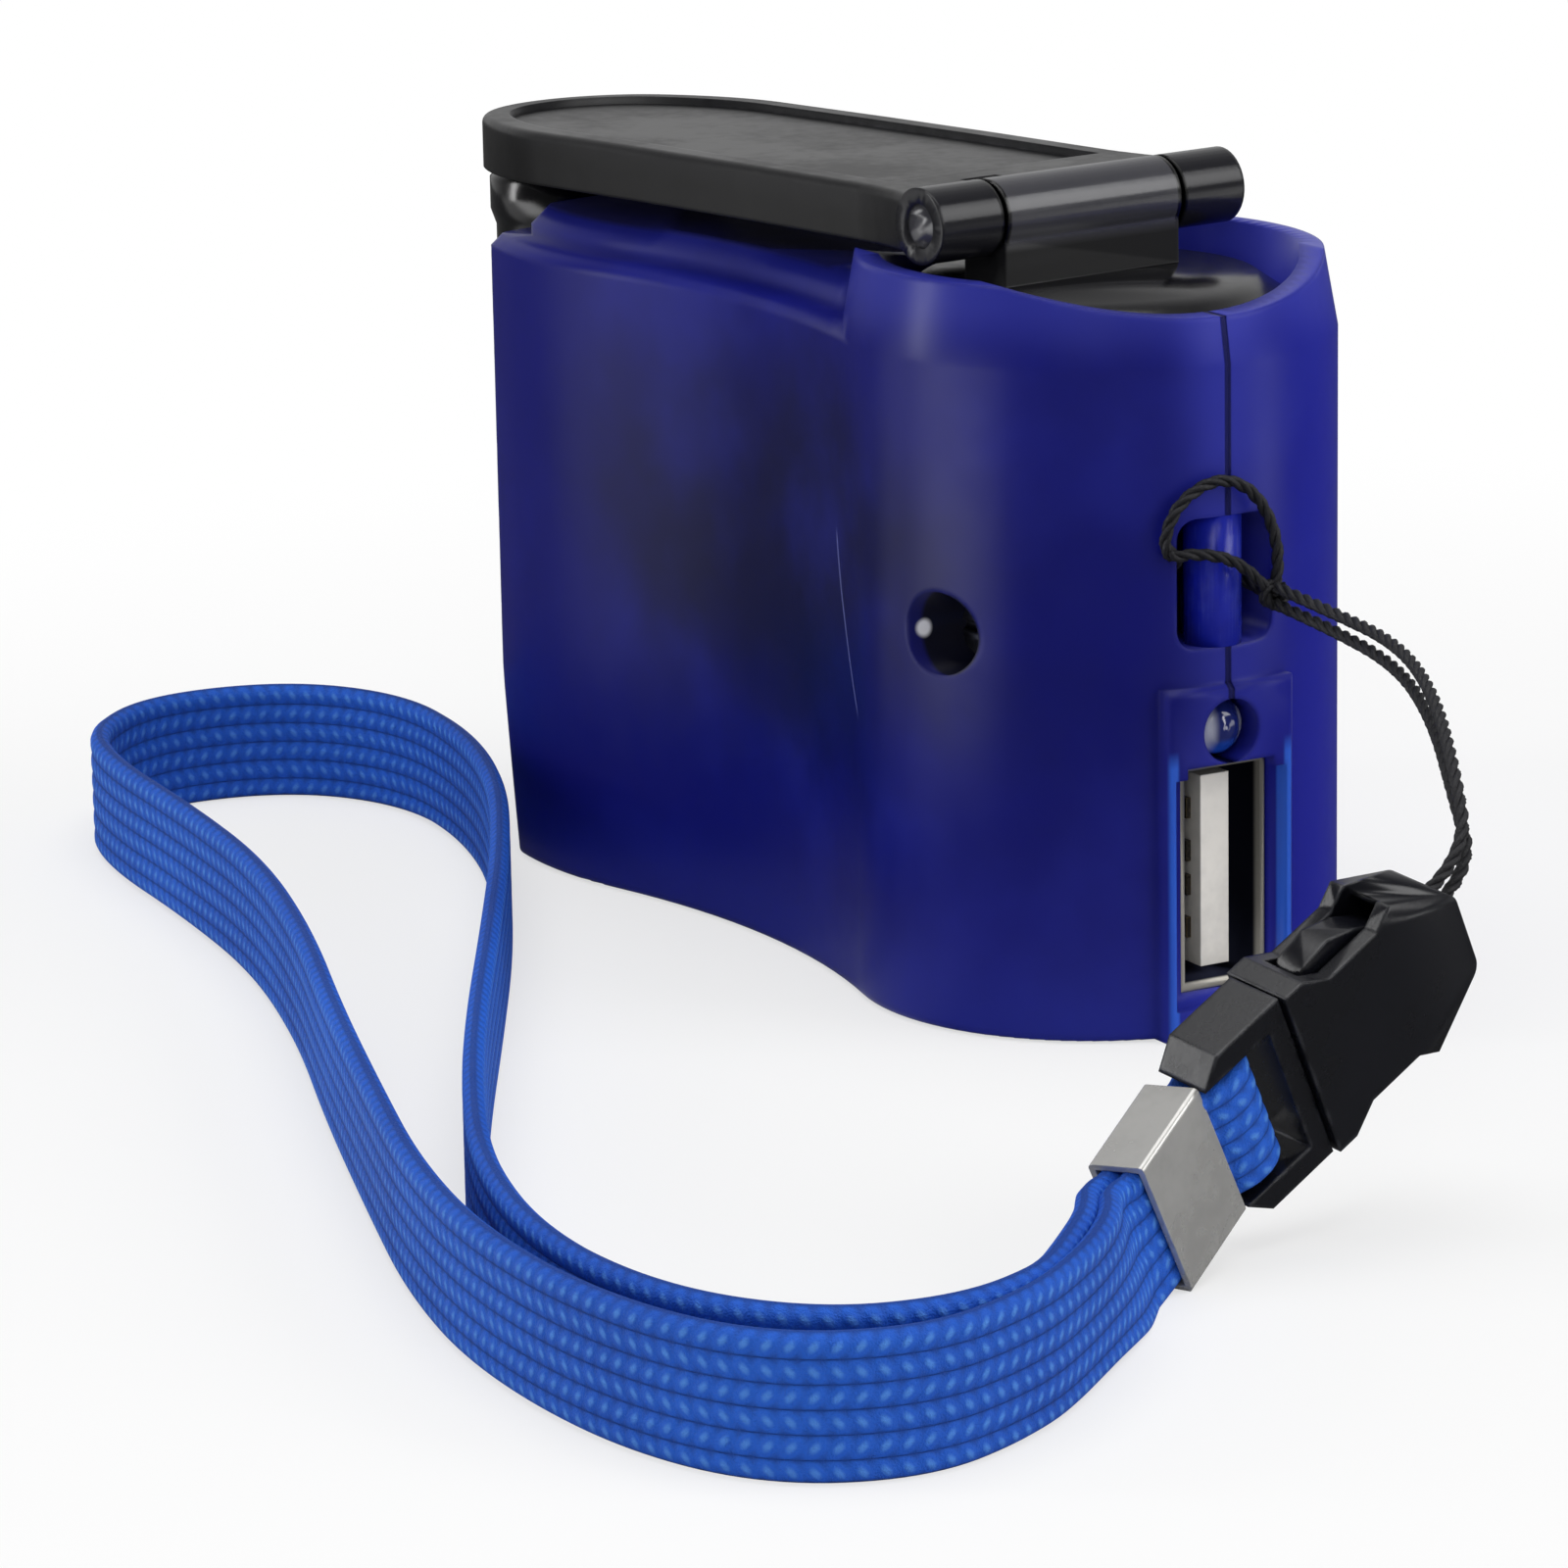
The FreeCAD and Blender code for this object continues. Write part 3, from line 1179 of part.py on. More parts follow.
def tab_shape():
    """The short fold of strap from the crimp round the plug's bar."""
    width = value("strap_width")
    thickness = value("strap_depth")
    split = value("strap_gap / 2")
    room = value("plug_bar / 2") + split
    setback = value("bar_setback")
    bar_back = -value("plug_length") + setback
    bar_front = bar_back + value("plug_bar")
    start = -value("plug_length + crimp_room") - 0.6
    spread = bar_back - 0.25 * setback

    def fold(near, far, bulge):
        """The closed outline through one face of the fold."""
        upper = [Vector(start, near, 0), Vector(spread - 0.6 * setback, near, 0), Vector(spread, far, 0),
                 Vector(bar_front, far, 0)]
        lower = [Vector(point.x, -point.y, 0) for point in reversed(upper)]
        nose = Part.Arc(upper[-1], Vector(bar_front + bulge, 0, 0), lower[0]).toShape()
        sides = [Part.makePolygon(upper), nose, Part.makePolygon(lower + [upper[0]])]
        edges = [edge for side in sides for edge in side.Edges]
        outline = Part.Face(Part.Wire(Part.__sortEdges__(edges)))
        outline.translate(UP * (-width / 2))
        return outline.extrude(UP * width)

    outer = fold(split + thickness, room + thickness, 0.4 + thickness)
    return outer.cut(fold(split, room, 0.4))


def string_points(lift, side):
    """One strand from the knot at the post to the buckle's nose."""
    frame = buckle_frame()
    beside = side * value("string_radius + 0.1")
    end = frame.multVec(Vector(value("socket_length"), 0, lift))
    before = frame.multVec(Vector(value("socket_length") + 3.2, 0, lift))
    return [knot_middle() + UP * beside, Vector(20.0, 2.8, 24.8 + beside), Vector(28.0, 1.9, 24.4 + beside * 1.3),
            Vector(35.2, -0.9, 23.3 + beside * 1.6), Vector(42.2, -4.6, 21.2 + beside * 1.6), before, end]


def knot_middle():
    """The knot beside the post, just outside the pocket."""
    station = value("post_station + post_radius + string_radius")
    return Vector(station + 0.55, value("post_radius") + 0.75, value("(pocket_foot + pocket_top) / 2") - 0.9)


def noose_shape(knot):
    """The turn of string round the post, tilted towards the knot."""
    radius = value("post_radius + string_radius") + 0.12
    ring = Part.makeTorus(radius, value("string_radius"))
    ring.Placement = Placement(Vector(value("post_station"), 0, knot_middle().z + 0.4),
                               Rotation(Vector(1, 0, 0), -14))
    return ring.cut(knot)


def add_soft_parts():
    """Strap, crimp, buckle and string, in front of the housing."""
    frame = buckle_frame()
    crimp = crimp_shape()
    placed_crimp = placed(crimp, crimp_frame())
    loop, risers = strap_shape(placed_crimp)
    solid_node("strap_loop", loop)
    for label, shape in zip(("strap_end_outer", "strap_end_inner"), risers):
        solid_node(label, shape)
    fold = placed(tab_shape(), frame).cut(placed_crimp)
    solid_node("strap_tab", fold)
    solid_node("strap_crimp", crimp, crimp_frame())
    solid_node("buckle_socket", socket_shape(), frame)
    solid_node("buckle_plug", plug_shape(), frame)
    knot = Part.makeSphere(value("knot_radius"), knot_middle())
    solid_node("string_noose", noose_shape(knot))
    solid_node("string_knot", knot)
    radius = value("string_radius")
    for label, lift, side in (("string_upper", 1.9, 1), ("string_lower", 0.7, -1)):
        strand = cord(label, string_points(lift, side), radius)
        solid_node(label, strand.cut(knot))


# ---------------------------------------------------------------- assembly

def add_housing():
    """The two halves, split along the seam."""
    shell = housing_shell()
    reach = 2 * value("tail_reach")
    for label, low, high in (("housing_near_half", -reach, 0.0), ("housing_far_half", 0.0, reach)):
        side = block(Vector(-reach, low, -1), Vector(reach, high, reach))
        solid_node(label, shell.common(side))


def build():
    """Makes every sub-part."""
    add_housing()
    add_turntable()
    solid_node("crank_gear", crank_gear_shape())
    add_retaining_washer()
    solid_node("crank_arm", arm_shape(), crank_place())
    add_hinge_pin()
    add_grip()
    add_grip_pin()
    solid_node("idler_gear", idler_shape())
    add_idler_axle()
    solid_node("rotor_pinion", rotor_pinion_shape())
    add_generator()
    solid_node("gear_plate", gear_plate_shape())
    add_port()
    add_lamp()
    add_board()
    add_case_screw()
    add_lanyard_post()
    add_soft_parts()


def export():
    """Checks every object and writes each sub-part to its file."""
    doc.recompute()
    for item in doc.Objects:
        if "Invalid" in item.State or "Error" in item.State:
            raise RuntimeError("%s failed: %s" % (item.Name, item.State))
    os.makedirs("parts", exist_ok=True)
    for item in nodes:
        shape = item.Shape
        if shape.isNull() or not shape.isValid() or not shape.Solids:
            raise RuntimeError("%s has no valid solid" % item.Label)
        print("%-20s solids %d volume %9.2f faces %d" % (item.Label, len(shape.Solids), shape.Volume,
                                                          len(shape.Faces)))
        shape.exportStep(os.path.join("parts", item.Label + ".step"))


build()
export()
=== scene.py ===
"""Looks of a hand crank phone charger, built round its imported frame."""

from __future__ import annotations

import json
import logging
import math
from dataclasses import dataclass, field
from enum import Enum
from functools import reduce

import bmesh
import bpy
from mathutils import Matrix, Vector

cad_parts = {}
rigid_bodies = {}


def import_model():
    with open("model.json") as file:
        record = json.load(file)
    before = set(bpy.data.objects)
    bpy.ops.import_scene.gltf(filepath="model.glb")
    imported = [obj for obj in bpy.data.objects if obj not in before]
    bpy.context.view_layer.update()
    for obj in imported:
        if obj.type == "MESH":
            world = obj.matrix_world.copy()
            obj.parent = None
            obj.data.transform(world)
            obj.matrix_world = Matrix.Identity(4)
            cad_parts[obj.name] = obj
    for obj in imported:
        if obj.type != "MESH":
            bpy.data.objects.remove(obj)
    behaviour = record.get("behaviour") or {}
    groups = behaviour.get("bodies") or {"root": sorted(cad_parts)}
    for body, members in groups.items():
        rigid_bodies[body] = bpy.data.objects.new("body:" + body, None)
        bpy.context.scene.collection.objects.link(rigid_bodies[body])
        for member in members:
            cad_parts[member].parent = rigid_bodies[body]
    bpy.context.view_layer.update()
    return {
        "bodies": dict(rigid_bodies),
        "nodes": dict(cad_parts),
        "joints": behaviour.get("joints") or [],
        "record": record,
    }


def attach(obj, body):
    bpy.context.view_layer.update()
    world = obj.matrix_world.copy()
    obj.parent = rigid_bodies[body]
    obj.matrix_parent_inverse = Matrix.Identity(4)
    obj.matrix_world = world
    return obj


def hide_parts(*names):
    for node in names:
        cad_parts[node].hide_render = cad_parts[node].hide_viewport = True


LOG = logging.getLogger("charger")
MM = 0.001
UP = Vector((0.0, 0.0, 1.0))
BEVEL_SAMPLES = 6
WHITE = (1.0, 1.0, 1.0, 1.0)

Node = bpy.types.Node
Socket = bpy.types.NodeSocket
Mesh = bpy.types.Mesh
Piece = bpy.types.Object
Paint = bpy.types.Material
Colour = tuple[float, float, float, float]
Point = tuple[float, float, float]
Look = tuple[Socket, Socket]


def tone(red: int, green: int, blue: int) -> Colour:
    """A colour from its screen values.

    Args:
        red: red from 0 to 255.
        green: green from 0 to 255.
        blue: blue from 0 to 255.

    Returns:
        The linear colour with full alpha.
    """
    parts = [value / 255 for value in (red, green, blue)]
    linear = [part / 12.92 if part <= 0.04045 else ((part + 0.055) / 1.055) ** 2.4 for part in parts]
    return (linear[0], linear[1], linear[2], 1.0)


def metres(*point: float) -> Vector:
    """A point given in millimetres."""
    return Vector(point) * MM


class Place(Enum):
    """Where a pattern is read from."""

    OBJECT = "Object"
    UV = "UV"


# ------------------------------------------------------------------ shader building


class Graph:
    """A node tree with short calls for its nodes and links."""

    def __init__(self, tree: bpy.types.NodeTree) -> None:
        """Keeps the tree that is built."""
        self.tree = tree

    def feed(self, node: Node, name: str | int, given: object) -> None:
        """Sets or links one input of a node.

        Args:
            node: the node.
            name: the input's name or place.
            given: a value, or the socket that feeds it.
        """
        socket = node.inputs[name]
        if isinstance(given, Socket):
            self.tree.links.new(given, socket)
        else:
            socket.default_value = given

    def set(self, node: Node, **inputs: object) -> Node:
        """Sets or links several inputs of a node.

        Args:
            node: the node.
            inputs: values or sockets for its inputs, with _ for a space.

        Returns:
            The same node.
        """
        for name, given in inputs.items():
            self.feed(node, name.replace("_", " "), given)
        return node

    def add(self, kind: str, **inputs: object) -> Node:
        """A new node of a type, with its inputs given as in set."""
        return self.set(self.tree.nodes.new(kind), **inputs)

    def worked(self, kind: str, operation: str, *values: object) -> Node:
        """A node that works something out.

        Args:
            kind: the node's type.
            operation: what it works out.
            values: values or sockets for its inputs, in their order.

        Returns:
            The node.
        """
        node = self.tree.nodes.new(kind)
        node.operation = operation
        for place, given in enumerate(values):
            self.feed(node, place, given)
        return node

    def maths(self, operation: str, *values: object) -> Socket:
        """A sum on values or sockets."""
        return self.worked("ShaderNodeMath", operation, *values).outputs[0]

    def vectors(self, operation: str, *values: object) -> Socket:
        """A number that is worked out from vectors."""
        return self.worked("ShaderNodeVectorMath", operation, *values).outputs["Value"]

    def times(self, *values: object) -> Socket:
        """Values or sockets multiplied from the left."""
        return reduce(lambda first, second: self.maths("MULTIPLY", first, second), values)

    def plus(self, *values: object) -> Socket:
        """Values or sockets added up from the left."""
        return reduce(lambda first, second: self.maths("ADD", first, second), values)

    def minus(self, first: object, second: object) -> Socket:
        """The first value less the second."""
        return self.maths("SUBTRACT", first, second)

    def away(self, given: object, middle: float = 0.0) -> Socket:
        """How far a value is from a middle one, to either side."""
        return self.maths("ABSOLUTE", self.minus(given, middle) if middle else given)

    def distance(self, first: Socket, second: Socket) -> Socket:
        """The length across two sides at right angles."""
        return self.maths("SQRT", self.plus(self.times(first, first), self.times(second, second)))

    def span(self, given: object, low: float, high: float, to_low: object = 0.0, to_high: object = 1.0,
             smooth: bool = False) -> Socket:
        """A value moved from one range to another.

        Args:
            given: the value.
            low: start of its range.
            high: end of its range.
            to_low: start of the new range.
            to_high: end of the new range.
            smooth: whether it eases in and out.

        Returns:
            The new value's socket.
        """
        node = self.tree.nodes.new("ShaderNodeMapRange")
        node.interpolation_type = "SMOOTHSTEP" if smooth else "LINEAR"
        for place, number in enumerate((given, low, high, to_low, to_high)):
            self.feed(node, place, number)
        return node.outputs[0]

    def climb(self, given: object, start: float, end: float, most: float = 1.0,
              smooth: bool = False) -> Socket:
        """A mask that climbs from nothing to its most between two places in millimetres."""
        return self.span(given, start * MM, end * MM, 0.0, most, smooth)

    def fall(self, given: object, start: float, end: float, most: float = 1.0,
             smooth: bool = False) -> Socket:
        """A mask that falls from its most to nothing between two places in millimetres."""
        return self.span(given, start * MM, end * MM, most, 0.0, smooth)

    def blend(self, mask: object, first: object, second: object) -> Socket:
        """Two colours mixed by a mask.

        Args:
            mask: share of the second colour.
            first: first colour or its socket.
            second: second colour or its socket.

        Returns:
            The mixed colour's socket.
        """
        node = self.tree.nodes.new("ShaderNodeMix")
        node.data_type = "RGBA"
        for place, given in ((0, mask), (6, first), (7, second)):
            self.feed(node, place, given)
        return node.outputs[2]

    def layers(self, base: object, *coats: tuple[Socket, Colour]) -> Socket:
        """A colour under several coats, each given by its mask and its colour."""
        return reduce(lambda below, coat: self.blend(coat[0], below, coat[1]), coats, base)

    def coordinates(self, place: Place = Place.OBJECT) -> Socket:
        """The pattern's coordinates."""
        return self.tree.nodes.new("ShaderNodeTexCoord").outputs[place.value]

    def split(self, vector: Socket | None = None) -> tuple[Socket, ...]:
        """The three parts of a vector, or of the piece's own coordinates."""
        return tuple(self.add("ShaderNodeSeparateXYZ", Vector=vector or self.coordinates()).outputs)

    def noise(self, scale: object, detail: float, **more: float) -> Socket:
        """A noise on the piece's own coordinates."""
        return self.add("ShaderNodeTexNoise", Vector=self.coordinates(), Scale=scale, Detail=detail,
                        **more).outputs[0]

    def bevel(self, radius: Socket) -> Socket:
        """Normals that turn softly over the edges.

        Args:
            radius: how wide they turn.

        Returns:
            The normal.
        """
        node = self.add("ShaderNodeBevel", Radius=radius)
        node.samples = BEVEL_SAMPLES
        return node.outputs[0]

    def bump(self, height: Socket, depth: object, strength: float = 1.0, **more: Socket) -> Socket:
        """Normals that stand for a height."""
        return self.add("ShaderNodeBump", Strength=strength, Distance=depth, Height=height, **more).outputs[0]

    def rays(self) -> tuple[Socket, Socket]:
        """Which rays meet the surface.

        Returns:
            A mask of the camera's rays, and one of those that come off a gloss or through a clear piece.
        """
        path = self.tree.nodes.new("ShaderNodeLightPath").outputs
        mirrored = self.maths("MAXIMUM", path["Is Glossy Ray"], path["Is Transmission Ray"])
        return path["Is Camera Ray"], mirrored


class EffectGroup:
    """A shader node group that several materials place with their own values."""

    title = "effect"
    takes: dict[str, float] = {}
    gives: dict[str, str] = {}

    def __init__(self) -> None:
        """Builds the group once."""
        self.tree = bpy.data.node_groups.new(self.title, "ShaderNodeTree")
        for name, number in self.takes.items():
            socket = self.tree.interface.new_socket(name, in_out="INPUT", socket_type="NodeSocketFloat")
            socket.default_value = number
        for name, kind in self.gives.items():
            self.tree.interface.new_socket(name, in_out="OUTPUT", socket_type=kind)
        self.graph = Graph(self.tree)
        self.entry = self.tree.nodes.new("NodeGroupInput").outputs
        leave = self.tree.nodes.new("NodeGroupOutput")
        for name, socket in zip(self.gives, self.fill()):
            self.graph.feed(leave, name, socket)

    def fill(self) -> tuple[Socket, ...]:
        """Makes the group's nodes and returns its outputs, in the order of gives."""
        raise NotImplementedError

    def put(self, graph: Graph, **values: object) -> bpy.types.NodeOutputs:
        """Places the group in a material.

        Args:
            graph: the material's graph.
            values: the group's inputs, with _ for a space.

        Returns:
            The group's outputs by name.
        """
        node = graph.tree.nodes.new("ShaderNodeGroup")
        node.node_tree = self.tree
        return graph.set(node, **values).outputs


class Relief(EffectGroup):
    """Softened edges with a fine moulded grain."""

    title = "relief"
    takes = {"Edge": 0.00025, "Grain": 4000.0, "Depth": 0.000004}
    gives = {"Normal": "NodeSocketVector"}

    def fill(self) -> tuple[Socket, ...]:
        """Bevelled normals under a noise bump.

        Returns:
            The normal.
        """
        graph, entry = self.graph, self.entry
        grain = graph.noise(entry["Grain"], 3.0, Roughness=0.6)
        return (graph.bump(grain, entry["Depth"], Normal=graph.bevel(entry["Edge"])),)


class Handling(EffectGroup):
    """Smudges and fine rubbing that change the gloss."""

    title = "handling"
    takes = {"Scale": 120.0, "Low": 0.3, "High": 0.4}
    gives = {"Roughness": "NodeSocketFloat", "Mask": "NodeSocketFloat"}

    def fill(self) -> tuple[Socket, ...]:
        """Two noises, one broad and one fine.

        Returns:
            The roughness, and the mask of the smudges.
        """
        graph, entry = self.graph, self.entry
        broad = graph.noise(entry["Scale"], 4.0)
        fine = graph.noise(graph.times(entry["Scale"], 9.0), 2.0)
        both = graph.plus(graph.times(broad, 0.7), graph.times(fine, 0.3))
        mask = graph.span(both, 0.36, 0.64, smooth=True)
        return graph.span(mask, 0.0, 1.0, entry["Low"], entry["High"]), mask


class EdgeWearAndSheen(EffectGroup):
    """A mask of rubbed outer edges, which on the arm also paints a highlight along them."""

    title = "edge_wear_and_sheen"
    takes = {"Width": 0.0004, "Amount": 1.0}
    gives = {"Mask": "NodeSocketFloat"}

    def fill(self) -> tuple[Socket, ...]:
        """How far the softened normal turns from the true one, broken up by noise.

        Returns:
            The mask of the rubbed edges and their painted highlight.
        """
        graph, entry = self.graph, self.entry
        true = graph.tree.nodes.new("ShaderNodeNewGeometry").outputs["Normal"]
        turn = graph.span(graph.vectors("DOT_PRODUCT", graph.bevel(entry["Width"]), true), 1.0, 0.9)
        return (graph.times(turn, graph.span(graph.noise(700.0, 4.0), 0.4, 0.65), entry["Amount"]),)


class Braid(EffectGroup):
    """A ribbed braid in a ribbon's own coordinates: along it in millimetres, and across it in ribs."""

    title = "braid"
    slant = 0.5
    crown_power = 0.45
    groove = 0.45
    fuzz_share = 0.15
    takes = {"Stitch": 1.05, "Ribs": 6.0}
    gives = {"Height": "NodeSocketFloat", "Shade": "NodeSocketFloat", "Fuzz": "NodeSocketFloat"}

    def fill(self) -> tuple[Socket, ...]:
        """Slanted stitches that change side from rib to rib.

        Returns:
            The height with its fuzz, the height alone, and the fuzz.
        """
        graph, entry = self.graph, self.entry
        along, across, _ = graph.split(graph.coordinates(Place.UV))
        rib = graph.times(across, entry["Ribs"])
        inside = graph.minus(graph.maths("FRACT", rib), 0.5)
        parity = graph.minus(graph.times(graph.maths("MODULO", graph.maths("FLOOR", rib), 2.0), 2.0), 1.0)
        phase = graph.plus(graph.maths("DIVIDE", along, entry["Stitch"]),
                           graph.times(inside, parity, self.slant))
        stitch = graph.span(graph.maths("SINE", graph.times(phase, 2 * math.pi)), -1.0, 1.0)
        crown = graph.minus(1.0, graph.times(graph.away(inside), 2.0))
        height = graph.times(graph.maths("POWER", crown, self.crown_power),
                             graph.plus(self.groove, graph.times(stitch, 1 - self.groove)))
        fuzz = graph.span(graph.noise(9000.0, 2.0), 0.3, 0.7)
        total = graph.plus(graph.times(height, 1 - self.fuzz_share), graph.times(fuzz, self.fuzz_share))
        return total, height, fuzz


@dataclass
class Effects:
    """Every shared effect of the charger's materials."""

    relief: Relief = field(default_factory=Relief)
    handling: Handling = field(default_factory=Handling)
    wear_and_sheen: EdgeWearAndSheen = field(default_factory=EdgeWearAndSheen)
    braid: Braid = field(default_factory=Braid)


class Finish:
    """A material: its own graph, its shader and the groups it places."""

    name = "finish"

    def __init__(self, effects: Effects) -> None:
        """Builds the material.

        Args:
            effects: the shared effects.
        """
        self.effects = effects
        self.material = bpy.data.materials.new(self.name)
        self.material.use_nodes = True
        self.graph = Graph(self.material.node_tree)
        self.shader = self.material.node_tree.nodes["Principled BSDF"]
        self.paint()

    def paint(self) -> None:
        """Feeds the shader."""
        raise NotImplementedError

    def set(self, **values: object) -> None:
        """Sets or links inputs of the shader, with _ for a space."""
        self.graph.set(self.shader, **values)


@dataclass(frozen=True)
class Moulding:
    """Numbers of a plain moulded or metal finish.

    Attributes:
        name: the material's name.
        colour: its colour.
        rubbed_and_lit: the colour of rubbed edges, and on the arm of the painted highlight along them.
        low: lowest roughness.
        high: highest roughness.
        metal: 1 for metal.
        edge: softening of its edges in millimetres.
        grain: grain scale per metre.
        depth: grain depth in millimetres.
        wear_and_sheen: how strongly its edges are rubbed, and on the arm how strong the painted highlight
            along them is.
        level: specular level.
        smudge: how much of its colour is left where it is smudged.
        reach: how many times its softened edge the rubbed band is wide.
    """

    name: str
    colour: Colour
    rubbed_and_lit: Colour
    low: float
    high: float
    metal: float = 0.0
    edge: float = 0.25
    grain: float = 4000.0
    depth: float = 0.004
    wear_and_sheen: float = 0.5
    level: float = 0.5
    smudge: float = 0.82
    reach: float = 1.6


class MouldedFinish(Finish):
    """A moulded plastic or worked metal."""

    def __init__(self, effects: Effects, moulding: Moulding) -> None:
        """Builds the material from its numbers.

        Args:
            effects: the shared effects.
            moulding: the numbers.
        """
        self.moulding = moulding
        self.name = moulding.name
        super().__init__(effects)

    def paint(self) -> None:
        """Grain, smudges and rubbed edges over one colour; on the arm the rubbed edges are also a painted
        highlight.
        """
        made = self.moulding
        marks = self.effects.handling.put(self.graph, Low=made.low, High=made.high)
        rubbed_and_lit = self.effects.wear_and_sheen.put(self.graph, Width=made.edge * made.reach * MM, Amount=made.wear_and_sheen)
        relief = self.effects.relief.put(self.graph, Edge=made.edge * MM, Grain=made.grain,
                                         Depth=made.depth * MM)
        shade = tuple(part * made.smudge for part in made.colour[:3]) + (1.0,)
        base = self.graph.layers(made.colour, (marks["Mask"], shade), (rubbed_and_lit["Mask"], made.rubbed_and_lit))
        base, rough = self.vary(base, marks["Roughness"])
        self.set(Base_Color=base, Roughness=rough, Normal=relief["Normal"], Metallic=made.metal,
                 Specular_IOR_Level=made.level)

    def vary(self, base: Socket, rough: Socket) -> Look:
        """Changes colour and roughness from place to place, which a plain finish doesn't.

        Args:
            base: the plain colour.
            rough: the plain roughness.

        Returns:
            The colour and the roughness as they change.
        """
        return base, rough


@dataclass(frozen=True)
class Hinge:
    """The hinge of the parked crank, in millimetres.

    Attributes:
        ahead: where its axis is along the crank.
        height: where its axis is above the base.
        knuckle: where the gaps between its knuckles are, to either side.
        park: the crank's turn in radians.
    """

    ahead: float = -1.5
    height: float = 45.4
    knuckle: float = 6.42
    park: float = math.radians(6.0)

    def gaps(self, graph: Graph) -> Socket:
        """A mask of the painted shade in the two gaps between the knuckles.

        Args:
            graph: the material's graph.

        Returns:
            The mask.
        """
        x, y, _ = graph.split()
        across = graph.minus(graph.times(y, math.cos(self.park)), graph.times(x, math.sin(self.park)))
        return graph.fall(graph.away(graph.away(across), self.knuckle * MM), 0.3, 0.42)

    def beside(self, graph: Graph) -> tuple[Socket, Socket]:
        """Where a point of the crank lies in the hinge's own frame.

        Args:
            graph: the material's graph.

        Returns:
            How far it is in front of the axis, and how far above it.
        """
        x, y, z = graph.split()
        along = graph.plus(graph.times(x, math.cos(self.park)), graph.times(y, math.sin(self.park)))
        return graph.minus(along, self.ahead * MM), graph.minus(z, self.height * MM)


HINGE = Hinge()
# painted shade in the gaps between the hinge knuckles
GAP_SHADE_BLACK = tone(4, 4, 5)
SHADOW_BLACK = tone(6, 6, 8)


class ArmFinish(MouldedFinish):
    """Satin black arm with a hinge barrel that is rubbed glossy and carries a painted sheen, with painted
    shade along its lower side and in the knuckle gaps.
    """

    # a lighter tone on the barrel: painted sheen
    barrel_sheen_tone = tone(30, 30, 34)
    barrel_gloss = 0.2

    def vary(self, base: Socket, rough: Socket) -> Look:
        """Lowers the roughness round the hinge axis and paints a sheen on the barrel, and shade along the
        lower side and in the knuckle gaps.

        Args:
            base: the plain colour.
            rough: the plain roughness.

        Returns:
            The colour and the roughness as they change.
        """
        graph = self.graph
        ahead, above = HINGE.beside(graph)
        barrel = graph.fall(graph.distance(ahead, above), 2.25, 2.6)
        # painted shade: the lower part of the arm's side is blackened
        low = graph.fall(above, -0.9, 0.5, smooth=True)
        gap_shade = graph.times(HINGE.gaps(graph), barrel)
        base = graph.layers(base, (low, SHADOW_BLACK), (barrel, self.barrel_sheen_tone), (gap_shade, GAP_SHADE_BLACK))
        return base, graph.span(barrel, 0.0, 1.0, rough, self.barrel_gloss)


class HubFinish(MouldedFinish):
    """Glossy black turntable with a painted sheen on its knuckle, and painted shade in its knuckle gaps and
    on the rougher pedestal under the knuckle.
    """

    # a lighter tone on the turntable's knuckle: painted sheen
    knuckle_sheen_tone = tone(62, 62, 67)
    pedestal_shade_roughness = 0.8

    def vary(self, base: Socket, rough: Socket) -> Look:
        """Paints shade on the pedestal between the disc and the knuckle and makes it rougher, and paints a
        sheen on the knuckle and shade in its gaps.

        Args:
            base: the plain colour.
            rough: the plain roughness.

        Returns:
            The colour and the roughness as they change.
        """
        graph = self.graph
        ahead, above = HINGE.beside(graph)
        # painted shade, black and rough, on the pedestal under the knuckle
        under = graph.times(graph.fall(graph.away(ahead), 2.0, 2.3), graph.fall(above, -1.9, -1.2),
                            graph.climb(above, -3.8, -3.7))
        knuckle = graph.climb(above, -1.9, -1.2)
        gap_shade = graph.times(knuckle, HINGE.gaps(graph))
        base = graph.layers(base, (knuckle, self.knuckle_sheen_tone), (gap_shade, GAP_SHADE_BLACK), (under, SHADOW_BLACK))
        return base, graph.span(under, 0.0, 1.0, rough, self.pedestal_shade_roughness)


class PortFinish(MouldedFinish):
    """Plated port shell, bright at its mouth and darkened inside by painted shade."""

    inner_shade_tone = tone(26, 28, 40)

    def vary(self, base: Socket, rough: Socket) -> Look:
        """Paints shade that darkens it with depth.

        Args:
            base: the plain colour.
            rough: the plain roughness.

        Returns:
            The colour and the roughness as they change.
        """
        # painted shade deeper inside the port
        inside = self.graph.fall(self.graph.split()[0], 12.8, 13.35, smooth=True)
        return self.graph.layers(base, (inside, self.inner_shade_tone)), rough


